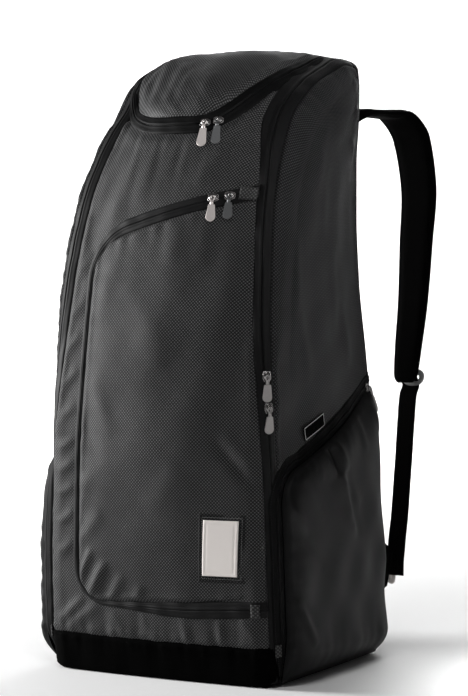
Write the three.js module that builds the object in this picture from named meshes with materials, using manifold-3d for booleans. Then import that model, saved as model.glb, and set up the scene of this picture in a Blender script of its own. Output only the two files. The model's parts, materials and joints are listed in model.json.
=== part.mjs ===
// A tall racket bag that stands on its base, with two shoulder straps behind it.
// Millimetres, +Z up. The origin is the middle of the base's underside, and the front faces -Y.

import * as THREE from 'three';
import { mergeVertices } from 'three/addons/utils/BufferGeometryUtils.js';
import Module from 'manifold-3d';

const wasm = await Module();
wasm.setup();

// Driving dimensions

const GAP = 0.3; // between neighbouring pieces
const CLOTH = 2; // thickness of a cloth wall
const TAPE = 1.5; // thickness of a zip tape that lies on the cloth
const RAISE = 0.8; // clear height under what lies on curved cloth
const TAPE_TOP = RAISE + TAPE;

// The body of the bag, from its foot to its top. Each row gives a point of the front profile (y, z), the
// height of the back edge there, the half widths at the front and at the back, the radius of the front
// corner, and how far the front and the side swell between their edges.
const BODY_ROWS = [
  { y: -152, z: 0, backZ: 3.3, half: 165, backHalf: 157, corner: 28, crown: 4, sideCrown: 2 },
  { y: -158, z: 55, backZ: 55, half: 167, backHalf: 158, corner: 28, crown: 7, sideCrown: 4 },
  { y: -163, z: 150, backZ: 150, half: 166, backHalf: 156, corner: 28, crown: 10, sideCrown: 6 },
  { y: -165, z: 280, backZ: 280, half: 162, backHalf: 150, corner: 28, crown: 12, sideCrown: 7 },
  { y: -156, z: 400, backZ: 400, half: 164, backHalf: 139, corner: 31, crown: 14, sideCrown: 8 },
  { y: -142, z: 500, backZ: 500, half: 167, backHalf: 128, corner: 36, crown: 15, sideCrown: 9 },
  { y: -118, z: 600, backZ: 590, half: 167, backHalf: 124, corner: 45, crown: 18, sideCrown: 9 },
  { y: -73, z: 682, backZ: 660, half: 165, backHalf: 124, corner: 52, crown: 26, sideCrown: 8 },
  { y: -28, z: 729, backZ: 708, half: 165, backHalf: 127, corner: 58, crown: 33, sideCrown: 6 },
  { y: 25, z: 759, backZ: 740, half: 160, backHalf: 128, corner: 57, crown: 33, sideCrown: 4 },
  { y: 85, z: 782, backZ: 760, half: 146, backHalf: 128, corner: 45, crown: 24, sideCrown: 2 },
  { y: 135, z: 797, backZ: 771, half: 130, backHalf: 126, corner: 29, crown: 13, sideCrown: 0 },
  { y: 154.5, z: 797, backZ: 773, half: 125, backHalf: 125, corner: 24, crown: 13, sideCrown: 0 },
];
const CROWN_POWER = 1.25; // flatness of the front's swell
const BACK_Y = 155; // back edge of the side panels
const WALL_ROWS = 22;
const FRONT_COLUMNS = 16;
const SIDE_COLUMNS = 8;
const ROW_CROWDING = 1.6; // how much closer the rows stand near the top
const SHORTEST_ROW = 3;
const SIDE_CROWDING = 1.6; // how much closer the side's columns stand near the front corner

// Padded back panel
const BACK_THICK = 11;
const BACK_ROUND = 7;
const BACK_FACE = BACK_Y + GAP + BACK_THICK;

// Base
const FLOOR_THICK = 3;
const BAND_TOP = 50;
const BAND_ROWS = 3;

// Long zip: its tape starts this far round the front corner, low down and high up
const ZIP_START_LOW = 25;
const ZIP_START_HIGH = 3;
const ZIP_TURN = { from: 240, to: 500 };
const MAIN_ZIP_WIDTH = 19;
const TOP_ZIP_WIDTH = 20;

// Hood: half a rounded oblong that hangs from the top edge. On the left it reaches the long zip, and its own
// tape narrows to a rim beside it.
const HOOD = { middle: -6, left: 101, right: 80, foot: 716, power: 3.5 };
const HOOD_SWELL = { left: 24, right: 2, from: 0.05, to: 0.55, power: 10, lean: 1.6 };
const HOOD_RIM = 6;
const HOOD_TAPE = { left: 15, right: 25, foot: 24, rim: 0 };
const HOOD_STEPS = 40; // steps along its edge
const HOOD_CROWDING = 2.2; // how much closer they stand near its foot
const HOOD_COLUMNS = 10;
const HOOD_FOOT_STEPS = 4; // steps of the edge that its lowest row takes up on each side
const MOUTH_SPARE = 3; // how far the cut for it goes past both faces of the front

// Front pocket: its lower edge and its slanted upper edge (cloth heights at the left and the right)
const POCKET = { left: -110, leftTop: -99, right: 122, seam: 3, footLeft: 94, footRight: 108 };
const POCKET_HEAD = { left: 545, right: 611 };
const POCKET_ROUND = 30;
const POCKET_SWELL = 5;
const POCKET_STEPS = { across: 12, along: 18 };
const POCKET_CROWDING = 1.6; // how much closer its columns stand near the right seam
const POCKET_TAPE = { head: 19, left: 8, foot: 20 };

// Side pockets: how far round the front corner they start, and the height of their slanted upper edge
const SIDE_POCKET = { start: 47, foot: 6, headFront: 262, headBack: 351, round: 50 };
const SIDE_SWELL = { right: 22, left: 36, power: 10, lean: 0.5 }; // the left one is fuller
const SIDE_TAPE_WIDTH = 19;
const SIDE_STEPS = { across: 10, along: 10 };

// Zip sliders and pulls
const SLIDER = { across: 9, along: 13, thick: 3 };
const BAIL = { across: 2.6, along: 8, rise: 4, bar: 1.3 };
const PULL = { width: 11, neck: 7, neckLength: 10, length: 32, thick: 1.4, bar: 1.4 };
const PULL_EYE = { width: 4.6, length: 5 };

// Where the sliders sit: on the front (a is x) or on a side, the height of the tape under them, and the
// height of the cloth under the foot of the pull
const PULL_PLACES = [
  { name: 'hood_left', a: 32, t: 707, lift: 0, cloth: 0, bright: true },
  { name: 'hood_right', a: 48, t: 712, lift: 0, cloth: 0, bright: false },
  { name: 'pocket_left', a: 68, t: 608, lift: TAPE_TOP, cloth: 5, bright: true },
  { name: 'pocket_right', a: 89, t: 612, lift: TAPE_TOP, cloth: 5, bright: false },
  { name: 'main_upper', side: 1, a: 24, t: 389, lift: 0, cloth: 0, bright: true },
  { name: 'main_lower', side: 1, a: 28, t: 350, lift: 0, cloth: 0, bright: true },
  { name: 'right_side', side: 1, a: 322, t: 357, lift: TAPE_TOP, cloth: 12, bright: true },
  { name: 'left_side', side: -1, a: 322, t: 357, lift: TAPE_TOP, cloth: 16, bright: true },
];

// Sewn-on pieces
const PATCH = { x: 103, t: 173, width: 50, height: 70, thick: 1.5 };
const LABEL = { near: 112, far: 164, foot: 303, rise: 18, slant: 17, shear: 5, thick: 0.8 };
const ZIP_TAB = { width: 15, length: 17, thick: 2 };
const UPPER_TAB = { x: 112, t: 620.5 };
const LOWER_TAB = { x: 146, t: 98 };
const CORNER_TAB = { a: 37, t: 24 };

// Shoulder straps, the right one: a row per section from its upper anchor to the end of its pad
const STRAP_ROWS = [
  { x: 64, y: 166.3, z: 700, width: 62, thick: 11 },
  { x: 70, y: 195, z: 719, width: 62, thick: 11 },
  { x: 84, y: 248, z: 735, width: 61, thick: 11 },
  { x: 102, y: 303, z: 727, width: 59, thick: 12 },
  { x: 117, y: 336, z: 692, width: 57, thick: 12 },
  { x: 127, y: 343, z: 630, width: 55, thick: 12 },
  { x: 131, y: 333, z: 550, width: 51, thick: 12 },
  { x: 135, y: 314, z: 470, width: 46, thick: 12 },
  { x: 139, y: 291, z: 405, width: 40, thick: 11 },
  { x: 142, y: 275, z: 366, width: 34, thick: 9 },
];
const STRAP_STEPS = 22;
const WEBBING = { width: 25, thick: 2 };
const WEBBING_STEPS = 12;
const WEBBING_ROWS = [
  { x: 144, y: 270, z: 346 },
  { x: 149, y: 262, z: 270 },
  { x: 152, y: 248, z: 180 },
  { x: 151, y: 239, z: 128 },
  { x: 150, y: 227, z: 104 },
];
// Metal loops between strap ends, with their clearances above and below
const ADJUSTER = { width: 38, bar: 5, thick: 5, headGap: 0.8, footGap: 0.6 };
const STRAP_TAB = { x: 148, foot: 66, head: 116, reach: 44, end: 26, thick: 3 };
const RING = { width: 32, bar: 3, thick: 3, headGap: 1.6, footGap: 1.25 };

// Colours and finishes
const PATTERNED_CLOTH = finish(0x4a4a4c, 0.85, 0);
const PLAIN_CLOTH = finish(0x1d1d1f, 0.8, 0);
const BLACK_CLOTH = finish(0x0d0d0e, 0.75, 0);
const ZIP_CLOTH = finish(0x1a1a1c, 0.8, 0);
const PULL_METAL = finish(0xc9bab5, 0.3, 1);
const SLIDER_METAL = finish(0x3a3a3c, 0.4, 1);
const PALE_PATCH = finish(0xe6dcd6, 0.6, 0);
const PALE_METAL = finish(0xd8d0c0, 0.35, 1);

function finish(color, roughness, metalness) {
  return new THREE.MeshStandardMaterial({ color, roughness, metalness });
}

// Smooth tables

function smoothColumn(keys, values) {
  // A curve through the values that never overshoots them.
  const slopes = values.map((value, i) => {
    if (i === 0 || i === values.length - 1) return 0;
    const before = (value - values[i - 1]) / (keys[i] - keys[i - 1]);
    const after = (values[i + 1] - value) / (keys[i + 1] - keys[i]);
    return before * after > 0 ? (2 * before * after) / (before + after) : 0;
  });
  const last = values.length - 1;
  slopes[0] = (values[1] - values[0]) / (keys[1] - keys[0]);
  slopes[last] = (values[last] - values[last - 1]) / (keys[last] - keys[last - 1]);
  return (key) => {
    let i = 0;
    while (i < last - 1 && key > keys[i + 1]) i += 1;
    const span = keys[i + 1] - keys[i];
    const s = THREE.MathUtils.clamp((key - keys[i]) / span, 0, 1);
    const start = (1 + 2 * s) * (1 - s) ** 2 * values[i] + s * (1 - s) ** 2 * span * slopes[i];
    const end = s * s * (3 - 2 * s) * values[i + 1] + s * s * (s - 1) * span * slopes[i + 1];
    return start + end;
  };
}

// Cloth height t is measured up the front profile, from its foot.
const rowHeights = [0];
for (let i = 1; i < BODY_ROWS.length; i += 1) {
  const rise = Math.hypot(BODY_ROWS[i].y - BODY_ROWS[i - 1].y, BODY_ROWS[i].z - BODY_ROWS[i - 1].z);
  rowHeights.push(rowHeights[i - 1] + rise);
}
const TOP = rowHeights[rowHeights.length - 1];
const HEAD = TOP - TOP_ZIP_WIDTH; // where the front and the hood end
const bodyColumns = {};
for (const name of Object.keys(BODY_ROWS[0])) {
  bodyColumns[name] = smoothColumn(rowHeights, BODY_ROWS.map((row) => row[name]));
}

function bodyAt(t) {
  const row = {};
  for (const name of Object.keys(bodyColumns)) row[name] = bodyColumns[name](t);
  const low = Math.max(t - 0.5, 0);
  const high = Math.min(t + 0.5, TOP);
  const rise = new THREE.Vector2(
    bodyColumns.y(high) - bodyColumns.y(low),
    bodyColumns.z(high) - bodyColumns.z(low),
  ).normalize();
  row.normal = new THREE.Vector2(-rise.y, rise.x);
  row.edge = row.half - row.corner;
  row.arc = (row.corner * Math.PI) / 2;
  row.cornerY = row.y - row.corner * row.normal.x;
  row.cornerZ = row.z - row.corner * row.normal.y;
  row.depth = Math.hypot(BACK_Y - row.cornerY, row.backZ - row.cornerZ);
  return row;
}

function backAt(t) {
  // The length of cloth from the front corner to the back edge.
  const row = bodyAt(t);
  return row.arc + row.depth;
}

function clothPoint(side, a, t, out) {
  // A point of the bag's surface: side is 1 on the right and -1 on the left, a runs round the front corner
  // from the edge of the flat front (less than 0 on the front), and out lifts it off the cloth.
  const row = bodyAt(t);
  if (a <= 0) {
    const x = row.edge + a;
    const swell = row.crown * (1 - Math.min(Math.abs(x) / row.edge, 1) ** 2) ** CROWN_POWER + out;
    return new THREE.Vector3(side * x, row.y + row.normal.x * swell, row.z + row.normal.y * swell);
  }
  if (a <= row.arc) {
    const turn = a / row.corner;
    const reach = (row.corner + out) * Math.cos(turn);
    const x = row.edge + (row.corner + out) * Math.sin(turn);
    return new THREE.Vector3(
      side * x,
      row.cornerY + row.normal.x * reach,
      row.cornerZ + row.normal.y * reach,
    );
  }
  const k = Math.min((a - row.arc) / row.depth, 1);
  const swell = row.sideCrown * Math.sin(Math.PI * k) ** 2;
  const x = row.half + (row.backHalf - row.half) * k + swell + out;
  return new THREE.Vector3(
    side * x,
    row.cornerY + (BACK_Y - row.cornerY) * k,
    row.cornerZ + (row.backZ - row.cornerZ) * k,
  );
}

function frontPoint(x, t, out) {
  const side = x < 0 ? -1 : 1;
  return clothPoint(side, Math.abs(x) - bodyAt(t).edge, t, out);
}

function mix(from, to, k) {
  return from + (to - from) * k;
}

function smoothStep(value, from, to) {
  return THREE.MathUtils.smoothstep(value, from, to);
}

function pillow(u, v, power) {
  // 0 at the edges of a unit square and 1 over most of it.
  return (1 - Math.abs(2 * u - 1) ** power) * (1 - Math.abs(2 * v - 1) ** power);
}

function bunched(u) {
  // A share from -1 to 1 whose even steps crowd together towards both ends.
  const w = 2 * u - 1;
  return 1.5 * w - 0.5 * w ** 3;
}

function evenBunched(u) {
  // The same from 0 to 1.
  return (bunched(u) + 1) / 2;
}

function zipStart(t) {
  return mix(ZIP_START_LOW, ZIP_START_HIGH, smoothStep(t, ZIP_TURN.from, ZIP_TURN.to));
}

function frontReach(t) {
  // How far the front's cloth goes on each side, up to the long zip.
  return bodyAt(t).edge + zipStart(t) - GAP;
}

// Closed solids

function solidGeometry(positions, triangles) {
  const geometry = new THREE.BufferGeometry();
  let volume = 0;
  for (const [a, b, c] of triangles) {
    volume += positions[a].dot(new THREE.Vector3().crossVectors(positions[b], positions[c]));
  }
  const facing = volume > 0 ? triangles : triangles.map(([a, b, c]) => [a, c, b]);
  geometry.setFromPoints(positions);
  geometry.setIndex(facing.flat());
  return geometry;
}

function quad(a, b, c, d) {
  return [[a, b, c], [a, c, d]];
}

function sheet(across, along, point, outer, inner) {
  // A wall over the unit square: point(u, v, lift) places it, outer and inner give its two faces' lifts.
  const positions = [];
  const triangles = [];
  const index = (layer, i, j) => (layer * (along + 1) + j) * (across + 1) + i;
  for (const lift of [outer, inner]) {
    for (let j = 0; j <= along; j += 1) {
      for (let i = 0; i <= across; i += 1) {
        const u = i / across;
        const v = j / along;
        positions.push(point(u, v, lift(u, v)));
      }
    }
  }
  for (let j = 0; j < along; j += 1) {
    for (let i = 0; i < across; i += 1) {
      triangles.push(...quad(index(0, i, j), index(0, i + 1, j), index(0, i + 1, j + 1), index(0, i, j + 1)));
      triangles.push(...quad(index(1, i, j), index(1, i, j + 1), index(1, i + 1, j + 1), index(1, i + 1, j)));
    }
  }
  for (let i = 0; i < across; i += 1) {
    triangles.push(...quad(index(0, i, 0), index(1, i, 0), index(1, i + 1, 0), index(0, i + 1, 0)));
    const j = along;
    triangles.push(...quad(index(0, i, j), index(0, i + 1, j), index(1, i + 1, j), index(1, i, j)));
  }
  for (let j = 0; j < along; j += 1) {
    triangles.push(...quad(index(0, 0, j), index(0, 0, j + 1), index(1, 0, j + 1), index(1, 0, j)));
    const i = across;
    triangles.push(...quad(index(0, i, j), index(1, i, j), index(1, i, j + 1), index(0, i, j + 1)));
  }
  return solidGeometry(positions, triangles);
}

function level(height) {
  return () => height;
}

function loft(rings) {
  // A closed solid through rings of equal count, with a flat fan at each end.
  const count = rings[0].length;
  const positions = rings.flat();
  const triangles = [];
  for (let k = 0; k < rings.length - 1; k += 1) {
    for (let i = 0; i < count; i += 1) {
      const next = (i + 1) % count;
      const low = k * count;
      const high = low + count;
      triangles.push(...quad(low + i, low + next, high + next, high + i));
    }
  }
  const ends = [
    { ring: rings[0], start: 0, turned: true },
    { ring: rings[rings.length - 1], start: (rings.length - 1) * count, turned: false },
  ];
  for (const end of ends) {
    const middle = new THREE.Vector3();
    for (const point of end.ring) middle.addScaledVector(point, 1 / count);
    const hub = positions.length;
    positions.push(middle);
    for (let i = 0; i < count; i += 1) {
      const a = end.start + i;
      const b = end.start + ((i + 1) % count);
      triangles.push(end.turned ? [hub, b, a] : [hub, a, b]);
    }
  }
  return solidGeometry(positions, triangles);
}

function extruded(shape, depth, curveSegments = 4) {
  const geometry = new THREE.ExtrudeGeometry(shape, { depth, bevelEnabled: false, curveSegments });
  geometry.deleteAttribute('normal');
  geometry.deleteAttribute('uv');
  return mergeVertices(geometry);
}

function toManifold(geometry) {
  return new wasm.Manifold(new wasm.Mesh({
    numProp: 3,
    vertProperties: new Float32Array(geometry.getAttribute('position').array),
    triVerts: new Uint32Array(geometry.getIndex().array),
  }));
}

function fromManifold(solid) {
  const mesh = solid.getMesh();
  const geometry = new THREE.BufferGeometry();
  geometry.setAttribute('position', new THREE.BufferAttribute(new Float32Array(mesh.vertProperties), 3));
  geometry.setIndex(new THREE.BufferAttribute(new Uint32Array(mesh.triVerts), 1));
  return geometry;
}

// Outlines on the cloth, as points (x, t)

function hoodOutline(turn, margin) {
  // turn runs from -1 at the left end of the hood's edge, through 0 at its foot, to 1 at the right end.
  const side = turn < 0 ? 'left' : 'right';
  const hang = 1 - Math.abs(turn) ** HOOD_CROWDING;
  const reach = (HOOD[side] + margin[side]) * (1 - hang ** HOOD.power) ** (1 / HOOD.power);
  const t = HEAD - (HEAD - HOOD.foot + margin.foot) * hang;
  const x = HOOD.middle + (turn < 0 ? -reach : reach);
  return new THREE.Vector2(Math.max(x, -frontReach(t) - margin.rim), t);
}

function pocketEdges(margin) {
  // The four edges of the front pocket, moved out by the margin.
  const share = (x) => (x - POCKET.left) / (POCKET.right - POCKET.left);
  return {
    left: (t) => mix(POCKET.left, POCKET.leftTop, smoothStep(t, POCKET.footLeft, POCKET_HEAD.left)) - margin.left,
    foot: (x) => mix(POCKET.footLeft, POCKET.footRight, share(x)) - margin.foot,
    head: (x) => mix(POCKET_HEAD.left, POCKET_HEAD.right, share(x)) + margin.head,
    right: (t) => bodyAt(t).edge + zipStart(t) - POCKET.seam,
    round: POCKET_ROUND + margin.left,
  };
}

function pocketPoint(u, v, margin) {
  // A point of the front pocket: u runs from left to right, v from foot to head.
  const edges = pocketEdges(margin);
  const outermost = POCKET.left - margin.left;
  const footT = edges.foot(outermost);
  const headT = edges.head(outermost + edges.round);
  const rise = evenBunched(v);
  const t = mix(footT, headT, rise);
  const fromCorner = Math.min(t - footT, headT - t);
  const missing = Math.max(edges.round - fromCorner, 0);
  const left = edges.left(t) + edges.round - Math.sqrt(Math.max(edges.round ** 2 - missing ** 2, 0));
  const x = mix(edges.right(t), left, (1 - u) ** POCKET_CROWDING);
  return new THREE.Vector2(x, mix(edges.foot(x), edges.head(x), rise));
}

function pocketOutline(s, margin) {
  // The pocket's edge from the right end of its head, round the left side, to the right end of its foot.
  const steps = s * (2 * POCKET_STEPS.across + POCKET_STEPS.along);
  if (steps <= POCKET_STEPS.across) return pocketPoint(1 - steps / POCKET_STEPS.across, 1, margin);
  const down = (steps - POCKET_STEPS.across) / POCKET_STEPS.along;
  if (down <= 1) return pocketPoint(0, 1 - down, margin);
  return pocketPoint((steps - POCKET_STEPS.across - POCKET_STEPS.along) / POCKET_STEPS.across, 0, margin);
}

const NO_MARGIN = { head: 0, left: 0, right: 0, foot: 0, rim: -HOOD_RIM };

function widened(margin, amount) {
  const wide = {};
  for (const name of Object.keys(NO_MARGIN)) wide[name] = (margin[name] ?? 0) + amount;
  return wide;
}

function sidePocketPoint(u, v, margin) {
  // A point (a, t) of a side pocket: u runs from the front corner to the back edge, v from foot to head.
  const start = SIDE_POCKET.start - margin;
  const round = SIDE_POCKET.round + margin;
  const headT = SIDE_POCKET.headFront + margin;
  const rise = evenBunched(v);
  const run = evenBunched(u);
  const t = mix(SIDE_POCKET.foot, headT, rise);
  const missing = Math.max(round - (headT - t), 0);
  const front = start + round - Math.sqrt(Math.max(round ** 2 - missing ** 2, 0));
  const slope = (SIDE_POCKET.headBack - SIDE_POCKET.headFront) * run;
  return new THREE.Vector2(mix(front, backAt(t) - GAP, run), t + slope * rise);
}

function sidePocketLift(swell) {
  return (u, v) => RAISE + CLOTH + swell * pillow(evenBunched(u), evenBunched(v), SIDE_SWELL.power);
}

function frontPocketLift(u, v) {
  return RAISE + CLOTH + POCKET_SWELL * pillow(u, v, 4);
}

// Panels

function wallHeights(low, high) {
  // Shared rows, closer together where the front curves over, so that neighbouring walls meet along them.
  const heights = [low];
  for (let k = 1; k < WALL_ROWS; k += 1) {
    const t = mix(TOP, 0, (1 - k / WALL_ROWS) ** ROW_CROWDING);
    if (t > low + SHORTEST_ROW && t < high - SHORTEST_ROW) heights.push(t);
  }
  heights.push(high);
  return heights;
}

function frontPanel() {
  const heights = wallHeights(BAND_TOP + GAP, HEAD - GAP);
  const rows = heights.length - 1;
  const point = (u, v, out) => {
    const t = heights[Math.round(v * rows)];
    return frontPoint(frontReach(t) * bunched(u), t, out);
  };
  const wall = toManifold(sheet(FRONT_COLUMNS, rows, point, level(0), level(-CLOTH)));
  const opening = { ...widened(HOOD_TAPE, GAP), rim: HOOD_RIM };
  const past = TOP_ZIP_WIDTH / 2;
  const mouth = toManifold(hoodRegion(opening, past, 0, level(MOUTH_SPARE), level(-CLOTH - MOUTH_SPARE)));
  return fromManifold(wall.subtract(mouth));
}

function hoodRegion(margin, past, lean, outer, inner) {
  // The cloth inside the hood's edge, in rows that end on it, carried past its head by a given length. What
  // is lifted off the front leans to the left.
  const firstTurn = HOOD_FOOT_STEPS / HOOD_STEPS;
  const point = (u, v, out) => {
    if (v === 0) {
      const foot = hoodOutline(mix(-firstTurn, firstTurn, u), margin);
      return frontPoint(foot.x, foot.y, out);
    }
    const turn = mix(firstTurn, 1, v);
    const left = hoodOutline(-turn, margin);
    const right = hoodOutline(turn, margin);
    const x = mix(left.x, right.x, evenBunched(u)) - lean * (1 - u) * out;
    return frontPoint(x, left.y + (v === 1 ? past : 0), out);
  };
  return sheet(HOOD_COLUMNS, (HOOD_STEPS - HOOD_FOOT_STEPS) / 2, point, outer, inner);
}

function hood() {
  const swell = (u) => mix(HOOD_SWELL.left, HOOD_SWELL.right, smoothStep(u, HOOD_SWELL.from, HOOD_SWELL.to));
  const outer = (u, v) => swell(evenBunched(u)) * pillow(evenBunched(u), v, HOOD_SWELL.power);
  return hoodRegion(NO_MARGIN, 0, HOOD_SWELL.lean, outer, (u, v) => outer(u, v) - CLOTH);
}

function sidePanel(side) {
  const heights = wallHeights(FLOOR_THICK + GAP, TOP - GAP);
  const rows = heights.length - 1;
  const point = (u, v, out) => {
    const t = heights[Math.round(v * rows)];
    const start = zipStart(t) + MAIN_ZIP_WIDTH + GAP;
    return clothPoint(side, mix(start, backAt(t), u ** SIDE_CROWDING), t, out);
  };
  return sheet(SIDE_COLUMNS, rows, point, level(0), level(-CLOTH));
}

function backOutline(inset) {
  // The bag's outline at its back edge, from the left foot over the top to the right foot.
  const right = [];
  const sideSteps = 13;
  for (let i = 0; i <= sideSteps; i += 1) {
    const t = mix(FLOOR_THICK + GAP, TOP, i / sideSteps);
    const row = bodyAt(t);
    right.push(new THREE.Vector2(row.backHalf, i === 0 ? FLOOR_THICK + GAP : row.backZ));
  }
  const row = bodyAt(TOP);
  for (const turn of [60, 30, 0]) {
    const angle = THREE.MathUtils.degToRad(turn);
    right.push(new THREE.Vector2(row.edge + row.corner * Math.sin(angle), row.z - row.corner * (1 - Math.cos(angle))));
  }
  const topSteps = 5;
  for (let i = 1; i <= topSteps; i += 1) {
    const x = row.edge * (1 - i / topSteps);
    const point = frontPoint(x, TOP, 0);
    right.push(new THREE.Vector2(point.x, point.z));
  }
  const left = right.slice(0, -1).map((point) => new THREE.Vector2(-point.x, point.y));
  const whole = [...right, ...left.reverse()];
  const middle = new THREE.Vector2(0, TOP / 3);
  return whole.map((point) => {
    const length = point.distanceTo(middle);
    return point.clone().lerp(middle, inset / length);
  });
}

function backPanel() {
  const rings = [
    { y: BACK_Y + GAP, inset: 0 },
    { y: BACK_FACE - BACK_ROUND, inset: 0 },
    { y: BACK_FACE - BACK_ROUND * 0.3, inset: BACK_ROUND * 0.3 },
    { y: BACK_FACE, inset: BACK_ROUND },
  ];
  return loft(rings.map((ring) => backOutline(ring.inset).map((p) => new THREE.Vector3(p.x, ring.y, p.y))));
}

function base() {
  const bandPoint = (u, v, out) => {
    const t = mix(0, BAND_TOP, v);
    return frontPoint(frontReach(t) * bunched(u), t, out);
  };
  const band = sheet(FRONT_COLUMNS, BAND_ROWS, bandPoint, level(0), level(-FLOOR_THICK));
  const outline = [];
  const reach = bodyAt(0).edge + bodyAt(0).arc;
  for (let i = 0; i <= FRONT_COLUMNS; i += 1) {
    outline.push(frontPoint(reach * bunched(i / FRONT_COLUMNS), 0, 0));
  }
  const backHalf = bodyAt(0).backHalf;
  for (const x of [backHalf, -backHalf]) outline.push(new THREE.Vector3(x, BACK_FACE, 0));
  const shape = new THREE.Shape(outline.map((p) => new THREE.Vector2(p.x, p.y)));
  return fromManifold(toManifold(band).add(toManifold(extruded(shape, FLOOR_THICK))));
}

// Pockets

function frontPocket() {
  const point = (u, v, out) => {
    const p = pocketPoint(u, v, NO_MARGIN);
    return frontPoint(p.x, p.y, out);
  };
  return sheet(POCKET_STEPS.across, POCKET_STEPS.along, point, frontPocketLift, (u, v) => frontPocketLift(u, v) - CLOTH);
}

function sidePocket(side, swell) {
  const point = (u, v, out) => {
    const p = sidePocketPoint(u, v, 0);
    const lean = SIDE_SWELL.lean * (1 - u) * Math.max(out - RAISE - CLOTH, 0);
    return clothPoint(side, p.x - lean, p.y, out);
  };
  const outer = sidePocketLift(swell);
  return sheet(SIDE_STEPS.across, SIDE_STEPS.along, point, outer, (u, v) => outer(u, v) - CLOTH);
}

// Zip tapes

function mainZip() {
  const heights = wallHeights(FLOOR_THICK + GAP, TOP - GAP);
  const rows = heights.length - 1;
  const run = (side) => {
    const point = (u, v, out) => {
      const t = heights[Math.round(v * rows)];
      return clothPoint(side, zipStart(t) + MAIN_ZIP_WIDTH * u, t, out);
    };
    return toManifold(sheet(2, rows, point, level(0), level(-CLOTH)));
  };
  const topPoint = (u, v, out) => {
    const t = mix(HEAD, TOP - GAP, v);
    const reach = bodyAt(t).edge + zipStart(t) + MAIN_ZIP_WIDTH / 2;
    return frontPoint(mix(-reach, reach, u), t, out);
  };
  const over = toManifold(sheet(FRONT_COLUMNS, 2, topPoint, level(0), level(-CLOTH)));
  return fromManifold(run(1).add(over).add(run(-1)));
}

function hoodZip() {
  const inner = widened(NO_MARGIN, GAP);
  const point = (u, v, out) => {
    const turn = mix(-1, 1, v);
    const p = hoodOutline(turn, inner).lerp(hoodOutline(turn, HOOD_TAPE), u);
    return frontPoint(p.x, Math.min(p.y, HEAD - GAP), out);
  };
  return sheet(2, HOOD_STEPS, point, level(0), level(-CLOTH));
}

function frontPocketZip() {
  const inner = widened(NO_MARGIN, GAP);
  const point = (u, v, out) => {
    const p = pocketOutline(v, inner).lerp(pocketOutline(v, POCKET_TAPE), u);
    return frontPoint(p.x, p.y, out);
  };
  return sheet(2, 2 * POCKET_STEPS.across + POCKET_STEPS.along, point, level(TAPE_TOP), level(RAISE));
}

function sidePocketZip(side) {
  const steps = SIDE_STEPS.along + SIDE_STEPS.across;
  const cornerShare = SIDE_STEPS.along / steps;
  const edge = (v, margin) => {
    if (v <= cornerShare) return sidePocketPoint(0, v / cornerShare, margin);
    return sidePocketPoint((v - cornerShare) / (1 - cornerShare), 1, margin);
  };
  const point = (u, v, out) => {
    const p = edge(v, GAP).lerp(edge(v, SIDE_TAPE_WIDTH), u);
    return clothPoint(side, p.x, p.y, out);
  };
  return sheet(2, steps, point, level(TAPE_TOP), level(RAISE));
}

// Sewn-on pieces

function frontPatch() {
  const pocketHeight = RAISE + CLOTH + POCKET_SWELL;
  const point = (u, v, out) => frontPoint(
    PATCH.x + (u - 0.5) * PATCH.width,
    PATCH.t + (v - 0.5) * PATCH.height,
    out,
  );
  return sheet(2, 2, point, level(pocketHeight + GAP + PATCH.thick), level(pocketHeight + GAP));
}

function sideLabel() {
  const point = (u, v, out) => clothPoint(
    1,
    mix(LABEL.near, LABEL.far, u) + LABEL.shear * (0.5 - v),
    LABEL.foot + LABEL.slant * u + LABEL.rise * v,
    out,
  );
  return sheet(2, 1, point, level(RAISE + LABEL.thick), level(RAISE));
}

function zipTab(place) {
  // A folded scrap of cloth over the end of a zip, at a place given by its two cloth axes.
  const point = (u, v, out) => place((u - 0.5) * ZIP_TAB.width, (v - 0.5) * ZIP_TAB.length, out);
  const foot = TAPE_TOP + GAP;
  return sheet(2, 2, point, level(foot + ZIP_TAB.thick), level(foot));
}

// Sliders and pulls

function clothFrame(place, a, t) {
  // Axes at a place of the cloth: out of it, as near to upright as the cloth lets a pull hang, and across.
  const origin = place(a, t, 0);
  const up = place(a, t + 1, 0).sub(place(a, t - 1, 0)).normalize();
  const right = place(a + 1, t, 0).sub(place(a - 1, t, 0));
  right.addScaledVector(up, -right.dot(up)).normalize();
  const out = new THREE.Vector3().crossVectors(right, up);
  if (out.dot(place(a, t, 1).sub(origin)) < 0) out.negate();
  up.set(0, 0, 1).addScaledVector(out, -out.z).normalize();
  right.crossVectors(up, out);
  return { origin, right, up, out };
}

function frameMatrix(frame, lift, tilt) {
  // Local x runs right, y up and z out, turned by the tilt about the right axis.
  const origin = frame.origin.clone().addScaledVector(frame.out, lift);
  const matrix = new THREE.Matrix4().makeBasis(frame.right, frame.up, frame.out).setPosition(origin);
  return matrix.multiply(new THREE.Matrix4().makeRotationX(tilt));
}

function rectangle(width, height, x = 0, y = 0) {
  return [
    new THREE.Vector2(x - width / 2, y - height / 2),
    new THREE.Vector2(x + width / 2, y - height / 2),
    new THREE.Vector2(x + width / 2, y + height / 2),
    new THREE.Vector2(x - width / 2, y + height / 2),
  ];
}

const BAIL_AXIS = SLIDER.thick + BAIL.rise - BAIL.bar - PULL.thick / 2 - GAP; // hinge height over the tape

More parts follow.
